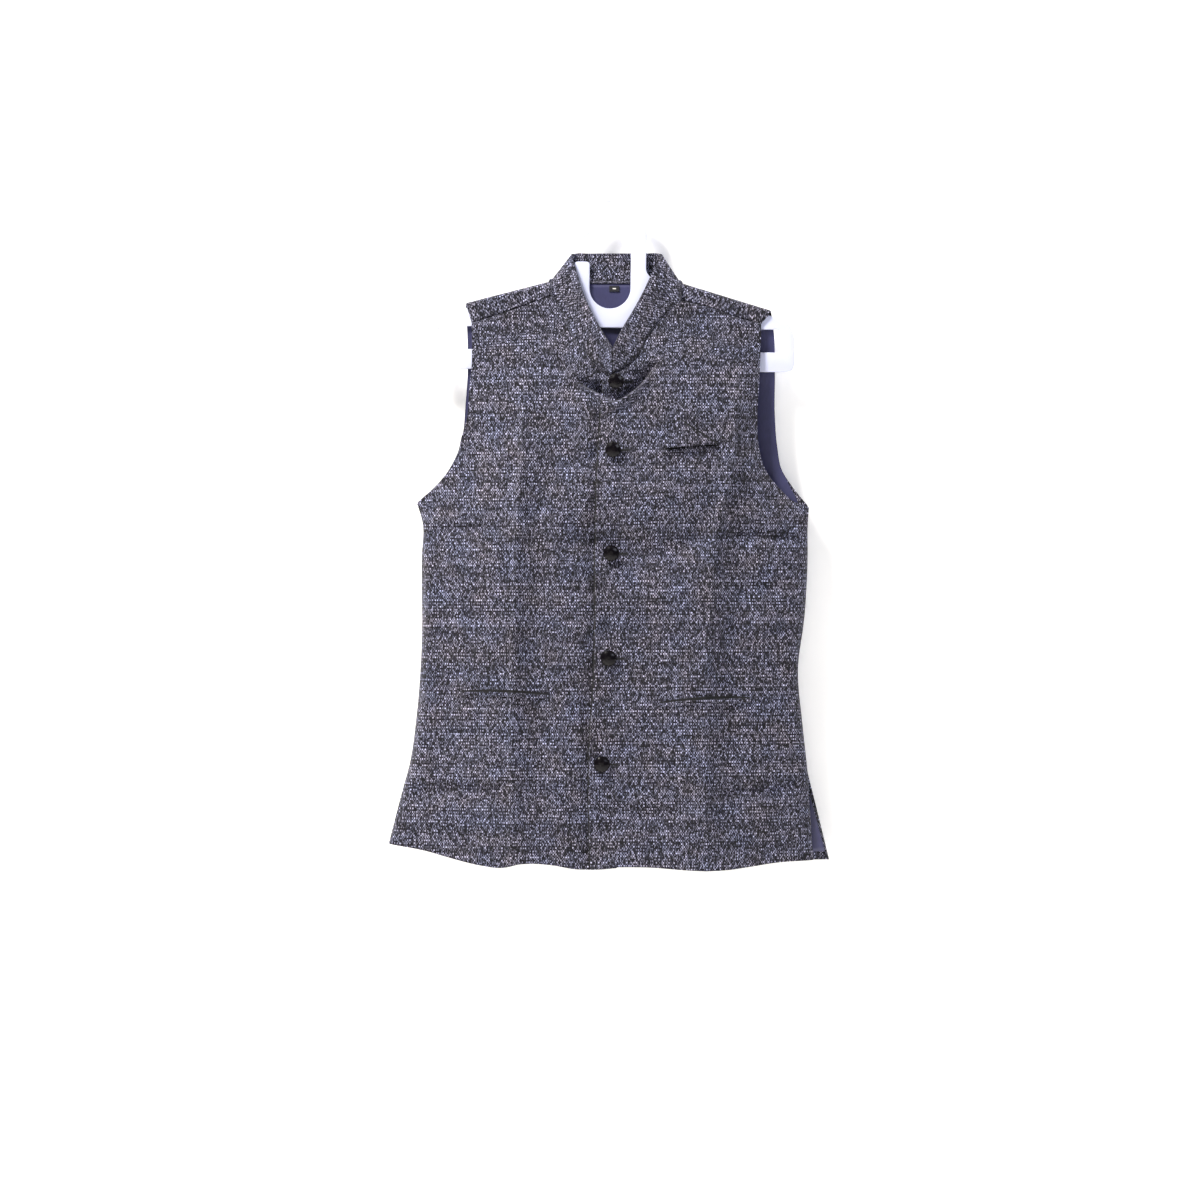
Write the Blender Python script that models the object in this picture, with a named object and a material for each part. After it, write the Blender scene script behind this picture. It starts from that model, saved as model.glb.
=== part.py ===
"""Sleeveless nehru jacket, buttoned up, hanging on a flat plastic plate hanger.

Metres, +Z up. +X is the wearer's left, the front faces -Y. The origin is the inner top of the hook, where
the rod or nail bears. Tables are in millimetres: "drop" is the distance below the origin, and "y" is the
depth of a cloth's outer face, negative towards the front.
"""

import math
from collections import namedtuple

import bmesh
import bpy
import numpy as np

MM = 0.001

# Cloth and plate thicknesses, and the gaps between pieces.
CLOTH_WALL = 2.0
LINING_WALL = 1.0
COLLAR_WALL = 2.4
SEAM_GAP = 0.8
NECK_GAP = 1.8
LINING_GAP = 0.8
LAP_GAP = 2.0
LAP_GAP_AT_TUCK = 2.5
TUCK_LAP_END = 275.0
TUCK_LAP_FADE = 20.0
LAP_WIDTH = 28.0
LAP_RISE = 22.0
PLATE = 4.0

# Shoulder ridge of the back, which wraps over the hanger.
RIDGE_RADIUS = 5.8
FRONT_SEAM_Y = -5.0
BACK_TOP_Y = 6.6
BACK_NECK_DROP = 97.0

# Share of the side panel taken by the rounded return into the side seam.
SIDE_RETURN = 0.11
# The same return on the back, as a share of the front's, and the share of its half over which it levels out.
BACK_RETURN = 0.4
BACK_LEVEL_SHARE = 0.45
# Width of the band at a front's outer edge over which its folds fade out, as a share of the side panel.
FOLD_FADE = 0.25

Point = namedtuple("Point", "x drop")
Edge = namedtuple("Edge", "drop x y roll")
Section = namedtuple("Section", "drop right_x right_y centre_x centre_y left_x left_y")
Crease = namedtuple("Crease", "x0 drop0 x1 drop1 sag depth width")
Band = namedtuple("Band", "low_x low_drop top_x top_drop top_y")
Button = namedtuple("Button", "x drop")
Opening = namedtuple("Opening", "x0 drop0 x1 drop1 sag")
BackDepth = namedtuple("BackDepth", "drop y")
LiningInset = namedtuple("LiningInset", "drop inset")

# Armhole edges of the fronts and of the back, from shoulder to underarm.
RIGHT_ARMHOLE = [
    Edge(146.0, -167.0, -5.0, 0.0),
    Edge(197.0, -167.0, -9.0, 0.0),
    Edge(228.0, -170.0, -12.0, 0.0),
    Edge(259.0, -172.0, -14.0, 0.0),
    Edge(283.0, -179.0, -14.0, 0.0),
    Edge(312.0, -187.0, -12.0, 0.0),
    Edge(326.0, -197.0, -10.0, 0.0),
    Edge(341.0, -210.0, -7.0, 0.0),
    Edge(361.0, -233.0, -1.3, 0.0),
]
LEFT_ARMHOLE = [
    Edge(147.0, 180.0, -5.0, 0.0),
    Edge(206.0, 178.0, -10.0, 0.0),
    Edge(257.0, 175.0, -15.0, 0.0),
    Edge(296.0, 177.0, -16.0, 0.0),
    Edge(323.0, 185.5, -13.0, 0.0),
    Edge(348.0, 206.0, -8.0, 0.0),
    Edge(361.0, 222.5, -4.0, 0.0),
    Edge(366.0, 237.5, -1.3, 0.0),
]
BACK_RIGHT_ARMHOLE = [
    Edge(126.8, -174.6, 6.6, 0.0),
    Edge(151.0, -173.0, 6.6, 0.0),
    Edge(200.0, -172.0, 6.5, 0.0),
    Edge(244.0, -175.0, 6.5, 0.0),
    Edge(274.0, -177.5, 6.0, 0.0),
    Edge(300.0, -184.0, 5.0, 0.0),
    Edge(323.0, -196.0, 4.0, 0.0),
    Edge(346.0, -214.0, 2.0, 0.0),
    Edge(361.0, -233.0, 1.3, 0.0),
]
BACK_LEFT_ARMHOLE = [
    Edge(135.8, 193.0, 6.6, 0.0),
    Edge(155.0, 195.6, 6.8, 0.0),
    Edge(205.0, 197.0, 7.0, 0.0),
    Edge(257.0, 197.0, 7.0, 0.0),
    Edge(294.0, 200.0, 6.0, 0.0),
    Edge(323.0, 206.0, 5.0, 0.0),
    Edge(343.0, 219.0, 3.0, 0.0),
    Edge(366.0, 237.5, 1.3, 0.0),
]

# Side seams, from underarm to hem. Below the vents the back flares past the front.
RIGHT_SIDE = [
    Edge(361.0, -233.0, -1.3, 0.0),
    Edge(385.0, -226.0, -0.9, 0.12),
    Edge(424.0, -227.0, -0.9, 0.30),
    Edge(540.0, -227.5, -0.9, 0.30),
    Edge(614.0, -233.0, -0.9, 0.30),
    Edge(672.0, -241.0, -0.9, 0.28),
    Edge(705.0, -249.0, -1.5, 0.20),
    Edge(770.0, -265.0, -6.0, 0.08),
]
LEFT_SIDE = [
    Edge(366.0, 237.5, -1.3, 0.0),
    Edge(390.0, 236.0, -0.9, 0.12),
    Edge(427.0, 236.0, -0.9, 0.30),
    Edge(499.0, 232.0, -0.9, 0.30),
    Edge(560.0, 224.5, -0.9, 0.30),
    Edge(629.0, 230.0, -0.9, 0.30),
    Edge(686.0, 236.0, -0.9, 0.26),
    Edge(712.0, 237.5, -2.0, 0.20),
    Edge(789.0, 242.5, -6.0, 0.08),
]
BACK_RIGHT_SIDE = [
    Edge(361.0, -233.0, 1.3, 0.0),
    Edge(385.0, -226.0, 0.9, 0.35),
    Edge(424.0, -227.0, 0.9, 0.8),
    Edge(540.0, -227.5, 0.9, 0.8),
    Edge(614.0, -233.0, 0.9, 0.8),
    Edge(672.0, -241.0, 0.9, 0.8),
    Edge(705.0, -250.0, 1.5, 0.6),
    Edge(770.0, -267.0, 4.0, 0.1),
]
BACK_LEFT_SIDE = [
    Edge(366.0, 237.5, 1.3, 0.0),
    Edge(390.0, 236.0, 0.9, 0.35),
    Edge(427.0, 236.0, 0.9, 0.8),
    Edge(499.0, 232.0, 0.9, 0.8),
    Edge(560.0, 224.5, 0.9, 0.8),
    Edge(629.0, 230.0, 0.9, 0.8),
    Edge(686.0, 236.5, 0.9, 0.7),
    Edge(712.0, 243.0, 1.5, 0.4),
    Edge(789.0, 262.0, 4.0, 0.1),
]

# Fronts across: the outer face at the pressed-in fold of each side and at the closing, at each drop.
SECTIONS = [
    Section(112.0, -97.0, -6.0, 3.0, -8.0, 128.0, -6.0),
    Section(146.0, -98.0, -9.0, 3.0, -13.0, 134.0, -8.0),
    Section(190.0, -100.0, -18.0, 3.0, -24.0, 146.0, -17.0),
    Section(222.0, -101.0, -25.0, 2.0, -30.0, 148.0, -24.0),
    Section(262.0, -104.0, -32.0, 0.0, -36.0, 148.0, -30.0),
    Section(320.0, -107.0, -39.0, -2.0, -43.0, 143.0, -37.0),
    Section(361.0, -110.0, -42.0, -4.0, -43.0, 133.0, -41.0),
    Section(425.0, -112.0, -43.0, -6.0, -36.0, 121.0, -43.0),
    Section(480.0, -114.0, -44.0, -7.0, -37.0, 118.0, -44.0),
    Section(560.0, -116.0, -43.0, -9.0, -36.0, 113.0, -43.0),
    Section(640.0, -117.0, -42.0, -12.0, -36.0, 112.0, -42.0),
    Section(720.0, -118.0, -41.0, -14.0, -33.0, 113.0, -42.0),
    Section(800.0, -119.0, -42.0, -14.0, -34.0, 113.0, -43.0),
]

# Creases across the fronts: a trough is positive, a swell negative.
CREASES = [
    Crease(-236.0, 397.0, -112.0, 391.0, 0.0, 2.6, 8.0),
    Crease(128.0, 397.0, 240.0, 407.0, 0.0, 2.6, 8.0),
    Crease(-255.0, 706.0, -112.0, 699.0, 0.0, 2.4, 9.0),
    Crease(110.0, 710.0, 245.0, 697.0, 0.0, 2.6, 9.0),
    Crease(-62.0, 390.0, 132.0, 390.0, 34.0, 5.0, 19.0),
    Crease(-70.0, 345.0, 120.0, 338.0, 14.0, -4.0, 26.0),
    Crease(-30.0, 505.0, 60.0, 503.0, 8.0, 3.0, 13.0),
    Crease(-34.0, 716.0, 108.0, 716.0, 20.0, 4.0, 13.0),
]

# The tuck under the top button: the lip's drop across the closing.
TUCK_LIP = [
    Point(-48.0, 216.0),
    Point(-35.0, 222.0),
    Point(-6.0, 237.0),
    Point(1.0, 241.0),
    Point(19.0, 233.0),
    Point(36.0, 220.0),
    Point(56.0, 196.0),
]
# How far a crease takes to fade out, as a share of its length.
CREASE_FADE = 0.22

TUCK_RECESS = 5.0
TUCK_LIP_HEIGHT = 2.0
TUCK_REACH = 26.0
TUCK_STEP = 9.0
TUCK_FADE_RIGHT = 26.0
TUCK_FADE_LEFT = 22.0
TUCK_LIP_BELOW = 5.0
TUCK_LIP_WIDTH = 8.0

# Tops of the fronts: shoulder seam, then neckline down to the lap.
RIGHT_SHOULDER_SEAM = [Point(-167.0, 146.0), Point(-134.0, 135.5), Point(-103.0, 125.0), Point(-71.0, 113.0)]
RIGHT_NECKLINE = [
    Point(-71.0, 113.0),
    Point(-59.0, 137.0),
    Point(-43.0, 168.5),
    Point(-18.0, 197.0),
    Point(-1.0, 210.0),
    Point(18.0, 214.0),
]
LEFT_SHOULDER_SEAM = [Point(180.0, 147.0), Point(155.0, 140.5), Point(121.0, 128.0), Point(84.0, 119.0)]
LEFT_NECKLINE = [
    Point(84.0, 119.0),
    Point(60.0, 142.0),
    Point(44.0, 165.0),
    Point(29.0, 192.0),
    Point(4.0, 208.5),
    Point(-10.0, 213.0),
]
RIGHT_CLOSING = [Point(18.0, 214.0), Point(18.0, 300.0), Point(15.0, 420.0), Point(9.0, 640.0), Point(7.0, 797.0)]
LEFT_CLOSING = [
    Point(-10.0, 213.0),
    Point(-12.0, 251.0),
    Point(-17.0, 334.0),
    Point(-19.0, 421.0),
    Point(-20.0, 558.0),
    Point(-26.0, 655.0),
    Point(-25.0, 796.0),
]
RIGHT_HEM = [
    Point(-265.0, 770.0),
    Point(-219.0, 778.0),
    Point(-189.0, 786.0),
    Point(-158.0, 793.0),
    Point(-129.0, 796.0),
    Point(-110.0, 792.0),
    Point(-70.0, 793.0),
    Point(-48.0, 797.0),
    Point(-23.0, 799.0),
    Point(7.0, 797.0),
]
LEFT_HEM = [
    Point(242.5, 789.0),
    Point(195.0, 791.5),
    Point(166.0, 795.5),
    Point(137.0, 799.0),
    Point(94.0, 799.0),
    Point(51.0, 796.0),
    Point(-25.0, 796.0),
]
BACK_HEM = [Point(-267.0, 770.0), Point(-200.0, 780.0), Point(0.0, 788.0), Point(200.0, 790.0), Point(262.0, 789.0)]

# Ridge of the shoulders, and the front seam that the back reaches.
RIGHT_RIDGE = [Point(-174.6, 121.0), Point(-73.0, 95.0)]
LEFT_RIDGE = [Point(84.0, 97.0), Point(193.0, 130.0)]
NECK_SHARE_START = 0.276
NECK_SHARE_END = 0.702

# Depth of the back's outer face down its middle.
BACK_DEPTHS = [
    BackDepth(97.0, 6.6),
    BackDepth(150.0, 7.5),
    BackDepth(250.0, 10.5),
    BackDepth(361.0, 12.5),
    BackDepth(500.0, 13.0),
    BackDepth(640.0, 12.0),
    BackDepth(790.0, 11.0),
]
LINING_INSETS = [
    LiningInset(120.0, 1.2),
    LiningInset(330.0, 1.5),
    LiningInset(352.0, 6.0),
    LiningInset(380.0, 18.0),
    LiningInset(690.0, 18.0),
    LiningInset(716.0, 4.0),
    LiningInset(790.0, 2.0),
]

# Collar from the right front end, round the back, to the left front end: seam edge and top edge.
RIGHT_BAND = [
    Band(-0.6, 209.3, 1.5, 176.5, -29.0),
    Band(-17.5, 196.2, -12.0, 154.0, -23.0),
    Band(-42.2, 167.8, -25.0, 130.0, -17.5),
    Band(-58.2, 136.4, -35.0, 106.0, -13.0),
    Band(-70.0, 112.4, -41.0, 86.0, -9.0),
    Band(-71.2, 101.0, -45.5, 71.0, -6.0),
]
LEFT_BAND = [
    Band(82.8, 103.0, 58.0, 71.0, -6.0),
    Band(82.6, 118.3, 49.5, 86.0, -9.0),
    Band(59.2, 141.2, 38.0, 110.0, -13.0),
    Band(43.2, 164.2, 26.0, 132.0, -17.5),
    Band(28.2, 191.0, 13.0, 154.0, -23.0),
    Band(3.6, 207.6, 2.6, 177.0, -29.5),
]
RIGHT_TURN = Band(-72.0, 94.2, -48.0, 63.0, -1.5)
LEFT_TURN = Band(83.0, 96.2, 61.5, 63.0, -1.5)
BACK_BAND_LOW = 95.8
BACK_BAND_TOP = 61.0
BACK_BAND_LOW_Y = 6.6
BACK_BAND_TOP_Y = 7.2

BUTTONS = [Button(6.0, 217.0), Button(2.4, 299.0), Button(0.0, 422.0), Button(-3.0, 547.0), Button(-11.0, 673.0)]
BUTTON_RADIUS = 9.6
BUTTON_HEIGHT = 6.0
BUTTON_CLEAR = 1.7
BUTTON_SEAT_REACH = 14.0

CHEST_OPENING = Opening(62.0, 299.5, 128.0, 294.5, -1.5)
RIGHT_OPENING = Opening(-180.0, 587.0, -76.0, 590.5, -1.5)
LEFT_OPENING = Opening(57.0, 600.0, 166.0, 594.5, -1.5)
JET_HEIGHT = 5.0
JET_WALL = 1.0
SQUARE_LEFT = Point(65.0, 296.9)
SQUARE_TIP = Point(79.0, 262.0)
SQUARE_RIGHT = Point(126.0, 292.4)
SQUARE_WALL = 1.2
PROUD = 0.6

LABEL_WIDTH = 12.0
LABEL_HEIGHT = 7.0
LABEL_WALL = 0.6
LABEL_AT = Point(3.6, 104.5)

# Hanger plate, level in its own frame and turned to hang a little low on the wearer's left.
HANGER_TILT = math.radians(0.65)
EYE_RADIUS = 24.6
EYE_BOTTOM = 128.0
HOOK_BAND = 18.5
HOOK_TIP_DROP = 34.0
NECK_ARM_TOP = 72.0
NECK_ARM_FOOT = 84.0
NECK_FOOT_X = 56.0
NECK_FOOT_DROP = 98.0
SHOULDER_START = Point(78.0, 104.0)
SHOULDER_END = Point(203.0, 137.5)
PLATE_LOW = 151.0
BAR_TOP = 178.5
BAR_LOW = 202.0
BAR_END_X = 222.0
END_LINK = 17.0
PLATE_BEVEL = 0.5

FRONT_ROWS_ABOVE = 11
FRONT_ROWS_BELOW = 19
UNDERARM_SHARE = 0.343
ROLL_STEPS = 4
PANEL_STEPS = 13
BACK_ROWS = 18
LINING_START = 0.003
LINING_END = 0.985
BACK_BAND_STATIONS = 9
BACK_BAND_INSET = 0.04
BAND_ROWS = 4
ARC_STEPS = 11


def srgb(code):
    """Linear colour of an sRGB hex code."""
    parts = [int(code[i : i + 2], 16) / 255 for i in (0, 2, 4)]
    return tuple(((c + 0.055) / 1.055) ** 2.4 if c > 0.04045 else c / 12.92 for c in parts) + (1.0,)


def material(name, code, roughness, metallic=0.0):
    made = bpy.data.materials.new(name)
    made.use_nodes = True
    shader = made.node_tree.nodes["Principled BSDF"]
    shader.inputs["Base Color"].default_value = srgb(code)
    shader.inputs["Roughness"].default_value = roughness
    shader.inputs["Metallic"].default_value = metallic
    made.diffuse_color = srgb(code)
    return made


def column(rows, name, drop):
    """One named column of a table at a drop, on a smooth curve through its rows."""
    drops = np.array([row.drop for row in rows])
    values = np.array([getattr(row, name) for row in rows])
    slopes = np.gradient(values, drops)
    i = int(np.clip(np.searchsorted(drops, drop) - 1, 0, len(drops) - 2))
    span = drops[i + 1] - drops[i]
    t = min(max((drop - drops[i]) / span, 0.0), 1.0)
    start = (1 + 2 * t) * (1 - t) ** 2 * values[i] + t * (1 - t) ** 2 * span * slopes[i]
    end = t * t * (3 - 2 * t) * values[i + 1] + t * t * (t - 1) * span * slopes[i + 1]
    return start + end


def edge_at(armhole, side, name, drop):
    rows = armhole if drop < side[0].drop else side
    return column(rows, name, drop)


def along(points, share):
    """The point that lies this share of the way along a polyline."""
    places = np.array([(point.x, point.drop) for point in points])
    reach = np.concatenate([[0.0], np.cumsum(np.hypot(*np.diff(places, axis=0).T))])
    at = share * reach[-1]
    return np.array([np.interp(at, reach, places[:, 0]), np.interp(at, reach, places[:, 1])])


def smooth(t):
    t = min(max(t, 0.0), 1.0)
    return t * t * (3 - 2 * t)


def crease_depth(crease, x, drop):
    """How far one crease moves the cloth towards the back, fading out at both of its ends."""
    share = (x - crease.x0) / (crease.x1 - crease.x0)
    if not 0.0 < share < 1.0:
        return 0.0
    line = crease.drop0 + (crease.drop1 - crease.drop0) * share + crease.sag * math.sin(math.pi * share)
    fade = smooth(min(share, 1 - share) / CREASE_FADE)
    return crease.depth * fade * math.exp(-(((drop - line) / crease.width) ** 2))


def tuck_depth(x, drop):
    """The recess above the lip under the top button, and the lip itself."""
    xs = [point.x for point in TUCK_LIP]
    if not xs[0] < x < xs[-1]:
        return 0.0
    below = drop - np.interp(x, xs, [point.drop for point in TUCK_LIP])
    fade = smooth((x - xs[0]) / TUCK_FADE_RIGHT) * smooth((xs[-1] - x) / TUCK_FADE_LEFT)
    recess = TUCK_RECESS * smooth(1 + below / TUCK_REACH) * (1 - smooth(below / TUCK_STEP + 0.5))
    lip = TUCK_LIP_HEIGHT * math.exp(-(((below - TUCK_LIP_BELOW) / TUCK_LIP_WIDTH) ** 2))
    return fade * (recess - lip)


def side_profile(share, roll):
    """Rise of a side panel from its edge (0) to the pressed fold (1): a rounded return, then a plain slope."""
    turned = math.sqrt(1 - (1 - min(share / SIDE_RETURN, 1.0)) ** 2)
    return (1 - roll) * share + roll * turned


def front_y(x, drop):
    """Depth of the fronts' outer face."""
    fold_right = column(SECTIONS, "right_x", drop)
    fold_left = column(SECTIONS, "left_x", drop)
    middle = column(SECTIONS, "centre_x", drop)
    y_middle = column(SECTIONS, "centre_y", drop)
    if x < middle:
        armhole, side, fold, name = RIGHT_ARMHOLE, RIGHT_SIDE, fold_right, "right_y"
    else:
        armhole, side, fold, name = LEFT_ARMHOLE, LEFT_SIDE, fold_left, "left_y"
    y_fold = column(SECTIONS, name, drop)
    inner = (x - middle) / (fold - middle)
    if inner < 1.0:
        y = y_middle + (y_fold - y_middle) * smooth(inner)
    else:
        x_edge = edge_at(armhole, side, "x", drop)
        y_edge = edge_at(armhole, side, "y", drop)
        roll = edge_at(armhole, side, "roll", drop)
        share = min(max((x - x_edge) / (fold - x_edge), 0.0), 1.0)
        y = y_edge + (y_fold - y_edge) * side_profile(share, roll)
        inner = 2 - share
    fade = smooth((2 - inner) / FOLD_FADE) if inner > 1 else 1.0
    folds = sum(crease_depth(crease, x, drop) for crease in CREASES) + tuck_depth(x, drop)
    return y + folds * fade


def back_y(x, drop):
    """Depth of the back's outer face."""
    if x < 0:
        armhole, side = BACK_RIGHT_ARMHOLE, BACK_RIGHT_SIDE
    else:
        armhole, side = BACK_LEFT_ARMHOLE, BACK_LEFT_SIDE
    x_edge = edge_at(armhole, side, "x", drop)
    y_edge = edge_at(armhole, side, "y", drop)
    roll = edge_at(armhole, side, "roll", drop)
    y_middle = column(BACK_DEPTHS, "y", drop)
    share = min(max((x - x_edge) / (BACK_LEVEL_SHARE * -x_edge), 0.0), 1.0)
    return y_edge + (y_middle - y_edge) * side_profile(share, roll)


def coons(top, low, first, last, across, down):
    """Point of a patch between four edges: across runs from first to last, down from top to low."""
    corners = (
        (1 - across) * (1 - down) * first(0.0)
        + across * (1 - down) * last(0.0)
        + (1 - across) * down * first(1.0)
        + across * down * last(1.0)
    )
    ruled = (1 - down) * top(across) + down * low(across) + (1 - across) * first(down) + across * last(down)
    return ruled - corners


def panel_shares(both_sides):
    """Columns across a panel: close together in the rounded return, even elsewhere."""
    turn = SIDE_RETURN * 0.5
    roll = [turn * (1 - math.cos(math.radians(90) * i / ROLL_STEPS)) for i in range(ROLL_STEPS)]
    if both_sides:
        roll = [BACK_RETURN * share for share in roll]
        turn *= BACK_RETURN
    flat = list(np.linspace(turn, 1 - turn if both_sides else 1.0, PANEL_STEPS * (2 if both_sides else 1) - 3))
    return roll + flat + ([1 - share for share in reversed(roll)] if both_sides else [])


def to_world(x, y, drop):
    return (x * MM, y * MM, -drop * MM)


def cloth(name, sheet, finish, wall):
    """Object from a grid of points in world metres (None where there is no cloth), thickened inwards."""
    mesh = bpy.data.meshes.new(name)
    bm = bmesh.new()
    corners = [[bm.verts.new(point) if point is not None else None for point in row] for row in sheet]
    for upper, lower in zip(corners, corners[1:]):
        for a, b, c, d in zip(upper, upper[1:], lower[1:], lower):
            if None not in (a, b, c, d):
                bm.faces.new((d, c, b, a))
    bm.to_mesh(mesh)
    bm.free()
    mesh.materials.append(finish)
    mesh.shade_smooth()
    made = bpy.data.objects.new(name, mesh)
    bpy.context.scene.collection.objects.link(made)
    thick = made.modifiers.new("wall", "SOLIDIFY")
    thick.thickness = wall * MM
    thick.offset = -1.0
    thick.use_even_offset = True
    thick.thickness_clamp = 1.0
    return made


def shoulder_then_neck(seam, neckline, split):
    """Top edge of a front, as a function of the share across it."""

    def top(share):
        if share < split:
            return along(seam, share / split)
        return along(neckline, (share - split) / (1 - split))

    return top


def front(name, armhole, side, seam, neckline, hem, closing, split, lap_at, finish):
    """One front. lap_at gives how far its closing edge lies under the other front."""
    top_drop, low_drop = armhole[0].drop, side[-1].drop
    downs = list(np.linspace(0.0, UNDERARM_SHARE, FRONT_ROWS_ABOVE))
    downs += list(np.linspace(UNDERARM_SHARE, 1.0, FRONT_ROWS_BELOW))[1:]

    def edge(down):
        drop = top_drop + down * (low_drop - top_drop)
        return np.array([edge_at(armhole, side, "x", drop), drop])

    def closing_edge(down):
        drop = closing[0].drop + down * (closing[-1].drop - closing[0].drop)
        return np.array([np.interp(drop, [p.drop for p in closing], [p.x for p in closing]), drop])

    def hem_edge(share):
        x = hem[0].x + share * (hem[-1].x - hem[0].x)
        order = sorted(hem)
        return np.array([x, np.interp(x, [p.x for p in order], [p.drop for p in order])])

    top = shoulder_then_neck(seam, neckline, split)
    sheet = []
    for down in downs:
        row = []
        for share in panel_shares(False):
            x, place = coons(top, hem_edge, edge, closing_edge, share, down)
            row.append(to_world(x, front_y(x, place) + lap_at(x, place), place))
        sheet.append(row)
    if side[-1].x > 0:
        sheet = [row[::-1] for row in sheet]
    return cloth(name, sheet, finish, CLOTH_WALL)


def under_lap(x, drop):
    """How far the right front steps back where the left front lies over it."""
    edge = np.interp(drop, [p.drop for p in LEFT_CLOSING], [p.x for p in LEFT_CLOSING])
    deep = CLOTH_WALL + LAP_GAP + LAP_GAP_AT_TUCK * smooth((TUCK_LAP_END - drop) / TUCK_LAP_FADE)
    return deep * smooth((x - edge + LAP_WIDTH) / LAP_RISE)


def no_lap(_x, _drop):
    return 0.0


def back_grid(inset_at, rows):
    """Places (x, drop) of the back below the shoulder ridge, row by row."""

    def top(share):
        if share <= NECK_SHARE_START:
            x, drop = along(RIGHT_RIDGE, share / NECK_SHARE_START)
            return np.array([x, drop + RIDGE_RADIUS])
        if share >= NECK_SHARE_END:
            x, drop = along(LEFT_RIDGE, (share - NECK_SHARE_END) / (1 - NECK_SHARE_END))
            return np.array([x, drop + RIDGE_RADIUS])
        across = (share - NECK_SHARE_START) / (NECK_SHARE_END - NECK_SHARE_START)
        x = RIGHT_RIDGE[1].x + across * (LEFT_RIDGE[0].x - RIGHT_RIDGE[1].x)
        return np.array([x, BACK_NECK_DROP])

    def side_edge(armhole, side):
        def edge(down):
            drop = armhole[0].drop + down * (side[-1].drop - armhole[0].drop)
            x = edge_at(armhole, side, "x", drop)
            return np.array([x - math.copysign(inset_at(drop), x), drop])

        return edge

    def hem_edge(share):
        inset = inset_at(BACK_HEM[0].drop)
        first, last = BACK_HEM[0].x + inset, BACK_HEM[-1].x - inset
        x = first + share * (last - first)
        return np.array([x, np.interp(x, [p.x for p in BACK_HEM], [p.drop for p in BACK_HEM])])

    first = side_edge(BACK_RIGHT_ARMHOLE, BACK_RIGHT_SIDE)
    last = side_edge(BACK_LEFT_ARMHOLE, BACK_LEFT_SIDE)
    shares = back_shares()
    return [[coons(top, hem_edge, first, last, share, down) for share in shares] for down in rows]


def back_shares():
    """Columns across the back, with one on each end of the neck."""
    shares = panel_shares(True)
    for wanted in (NECK_SHARE_START, NECK_SHARE_END):
        nearest = int(np.argmin([abs(share - wanted) for share in shares]))
        shares[nearest] = wanted
    return shares


def wrap_row(share, turn):
    """A point of the part that wraps over the shoulder: turn 0 at the back, 180 in front, None at the seam."""
    if share <= NECK_SHARE_START:
        across = share / NECK_SHARE_START
        ridge, seam = along(RIGHT_RIDGE, across), along(RIGHT_SHOULDER_SEAM, across)
    elif share >= NECK_SHARE_END:
        across = (share - NECK_SHARE_END) / (1 - NECK_SHARE_END)
        ridge, seam = along(LEFT_RIDGE, across), along(LEFT_SHOULDER_SEAM[::-1], across)
    else:
        return None
    if turn is None:
        return to_world(seam[0], FRONT_SEAM_Y, seam[1] - SEAM_GAP)
    angle = math.radians(turn)
    middle = (BACK_TOP_Y + FRONT_SEAM_Y) / 2
    half = (BACK_TOP_Y - FRONT_SEAM_Y) / 2
    lean = (seam[0] - ridge[0]) * 0.25 * (1 - math.cos(angle)) / 2
    drop = ridge[1] + RIDGE_RADIUS * (1 - math.sin(angle))
    return to_world(ridge[0] + lean, middle + half * math.cos(angle), drop)


def back(finish):
    shares = back_shares()
    sheet = [[wrap_row(share, turn) for share in shares] for turn in (None, 180, 135, 90, 45)]
    for row in back_grid(lambda drop: 0.0, np.linspace(0, 1, BACK_ROWS)):
        sheet.append([to_world(x, back_y(x, drop), drop) for x, drop in row])
    return cloth("back", [row[::-1] for row in sheet], finish, CLOTH_WALL)


def lining_y(x, drop):
    """Front face of the back's lining."""
    return back_y(x, drop) - CLOTH_WALL - LINING_GAP - LINING_WALL


def back_lining(finish):
    sheet = []
    rows = np.linspace(0, 1, BACK_ROWS)
    rows[0], rows[-1] = LINING_START, LINING_END
    for row in back_grid(lining_inset, rows):
        sheet.append([to_world(x, lining_y(x, drop), drop) for x, drop in row])
    return cloth("back_lining", sheet, finish, LINING_WALL)


def lining_inset(drop):
    """How far the lining's side edges stay inside the back's."""
    return np.interp(drop, [row.drop for row in LINING_INSETS], [row.inset for row in LINING_INSETS])


def collar(finish):
    """Band round the neck: stations from the right front end over the back to the left front end."""
    stations = []
    stations += [band_station(band) for band in RIGHT_BAND]
    stations.append(turn_station(RIGHT_TURN))
    ends = (RIGHT_TURN, LEFT_TURN)
    for share in np.linspace(BACK_BAND_INSET, 1 - BACK_BAND_INSET, BACK_BAND_STATIONS):
        low_x = ends[0].low_x + share * (ends[1].low_x - ends[0].low_x)
        top_x = ends[0].top_x + share * (ends[1].top_x - ends[0].top_x)
        stations.append(((low_x, BACK_BAND_LOW_Y, BACK_BAND_LOW), (top_x, BACK_BAND_TOP_Y, BACK_BAND_TOP)))
    stations.append(turn_station(LEFT_TURN))
    stations += [band_station(band) for band in LEFT_BAND]
    sheet = []
    for share in np.linspace(0, 1, BAND_ROWS):
        sheet.append([to_world(*(np.array(low) * share + np.array(top) * (1 - share))) for low, top in stations])
    return cloth("collar", [row[::-1] for row in sheet], finish, COLLAR_WALL)


def band_station(band):
    """Seam point and top point of the collar on a front, with the seam's gap left below."""
    rise = np.array([band.top_x - band.low_x, band.top_drop - band.low_drop])
    x, drop = np.array([band.low_x, band.low_drop]) + NECK_GAP * rise / np.hypot(*rise)
    return (x, front_y(x, drop), drop), (band.top_x, band.top_y, band.top_drop)


def turn_station(band):
    return (band.low_x, 0.0, band.low_drop), (band.top_x, band.top_y + 1.5, band.top_drop)


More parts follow.
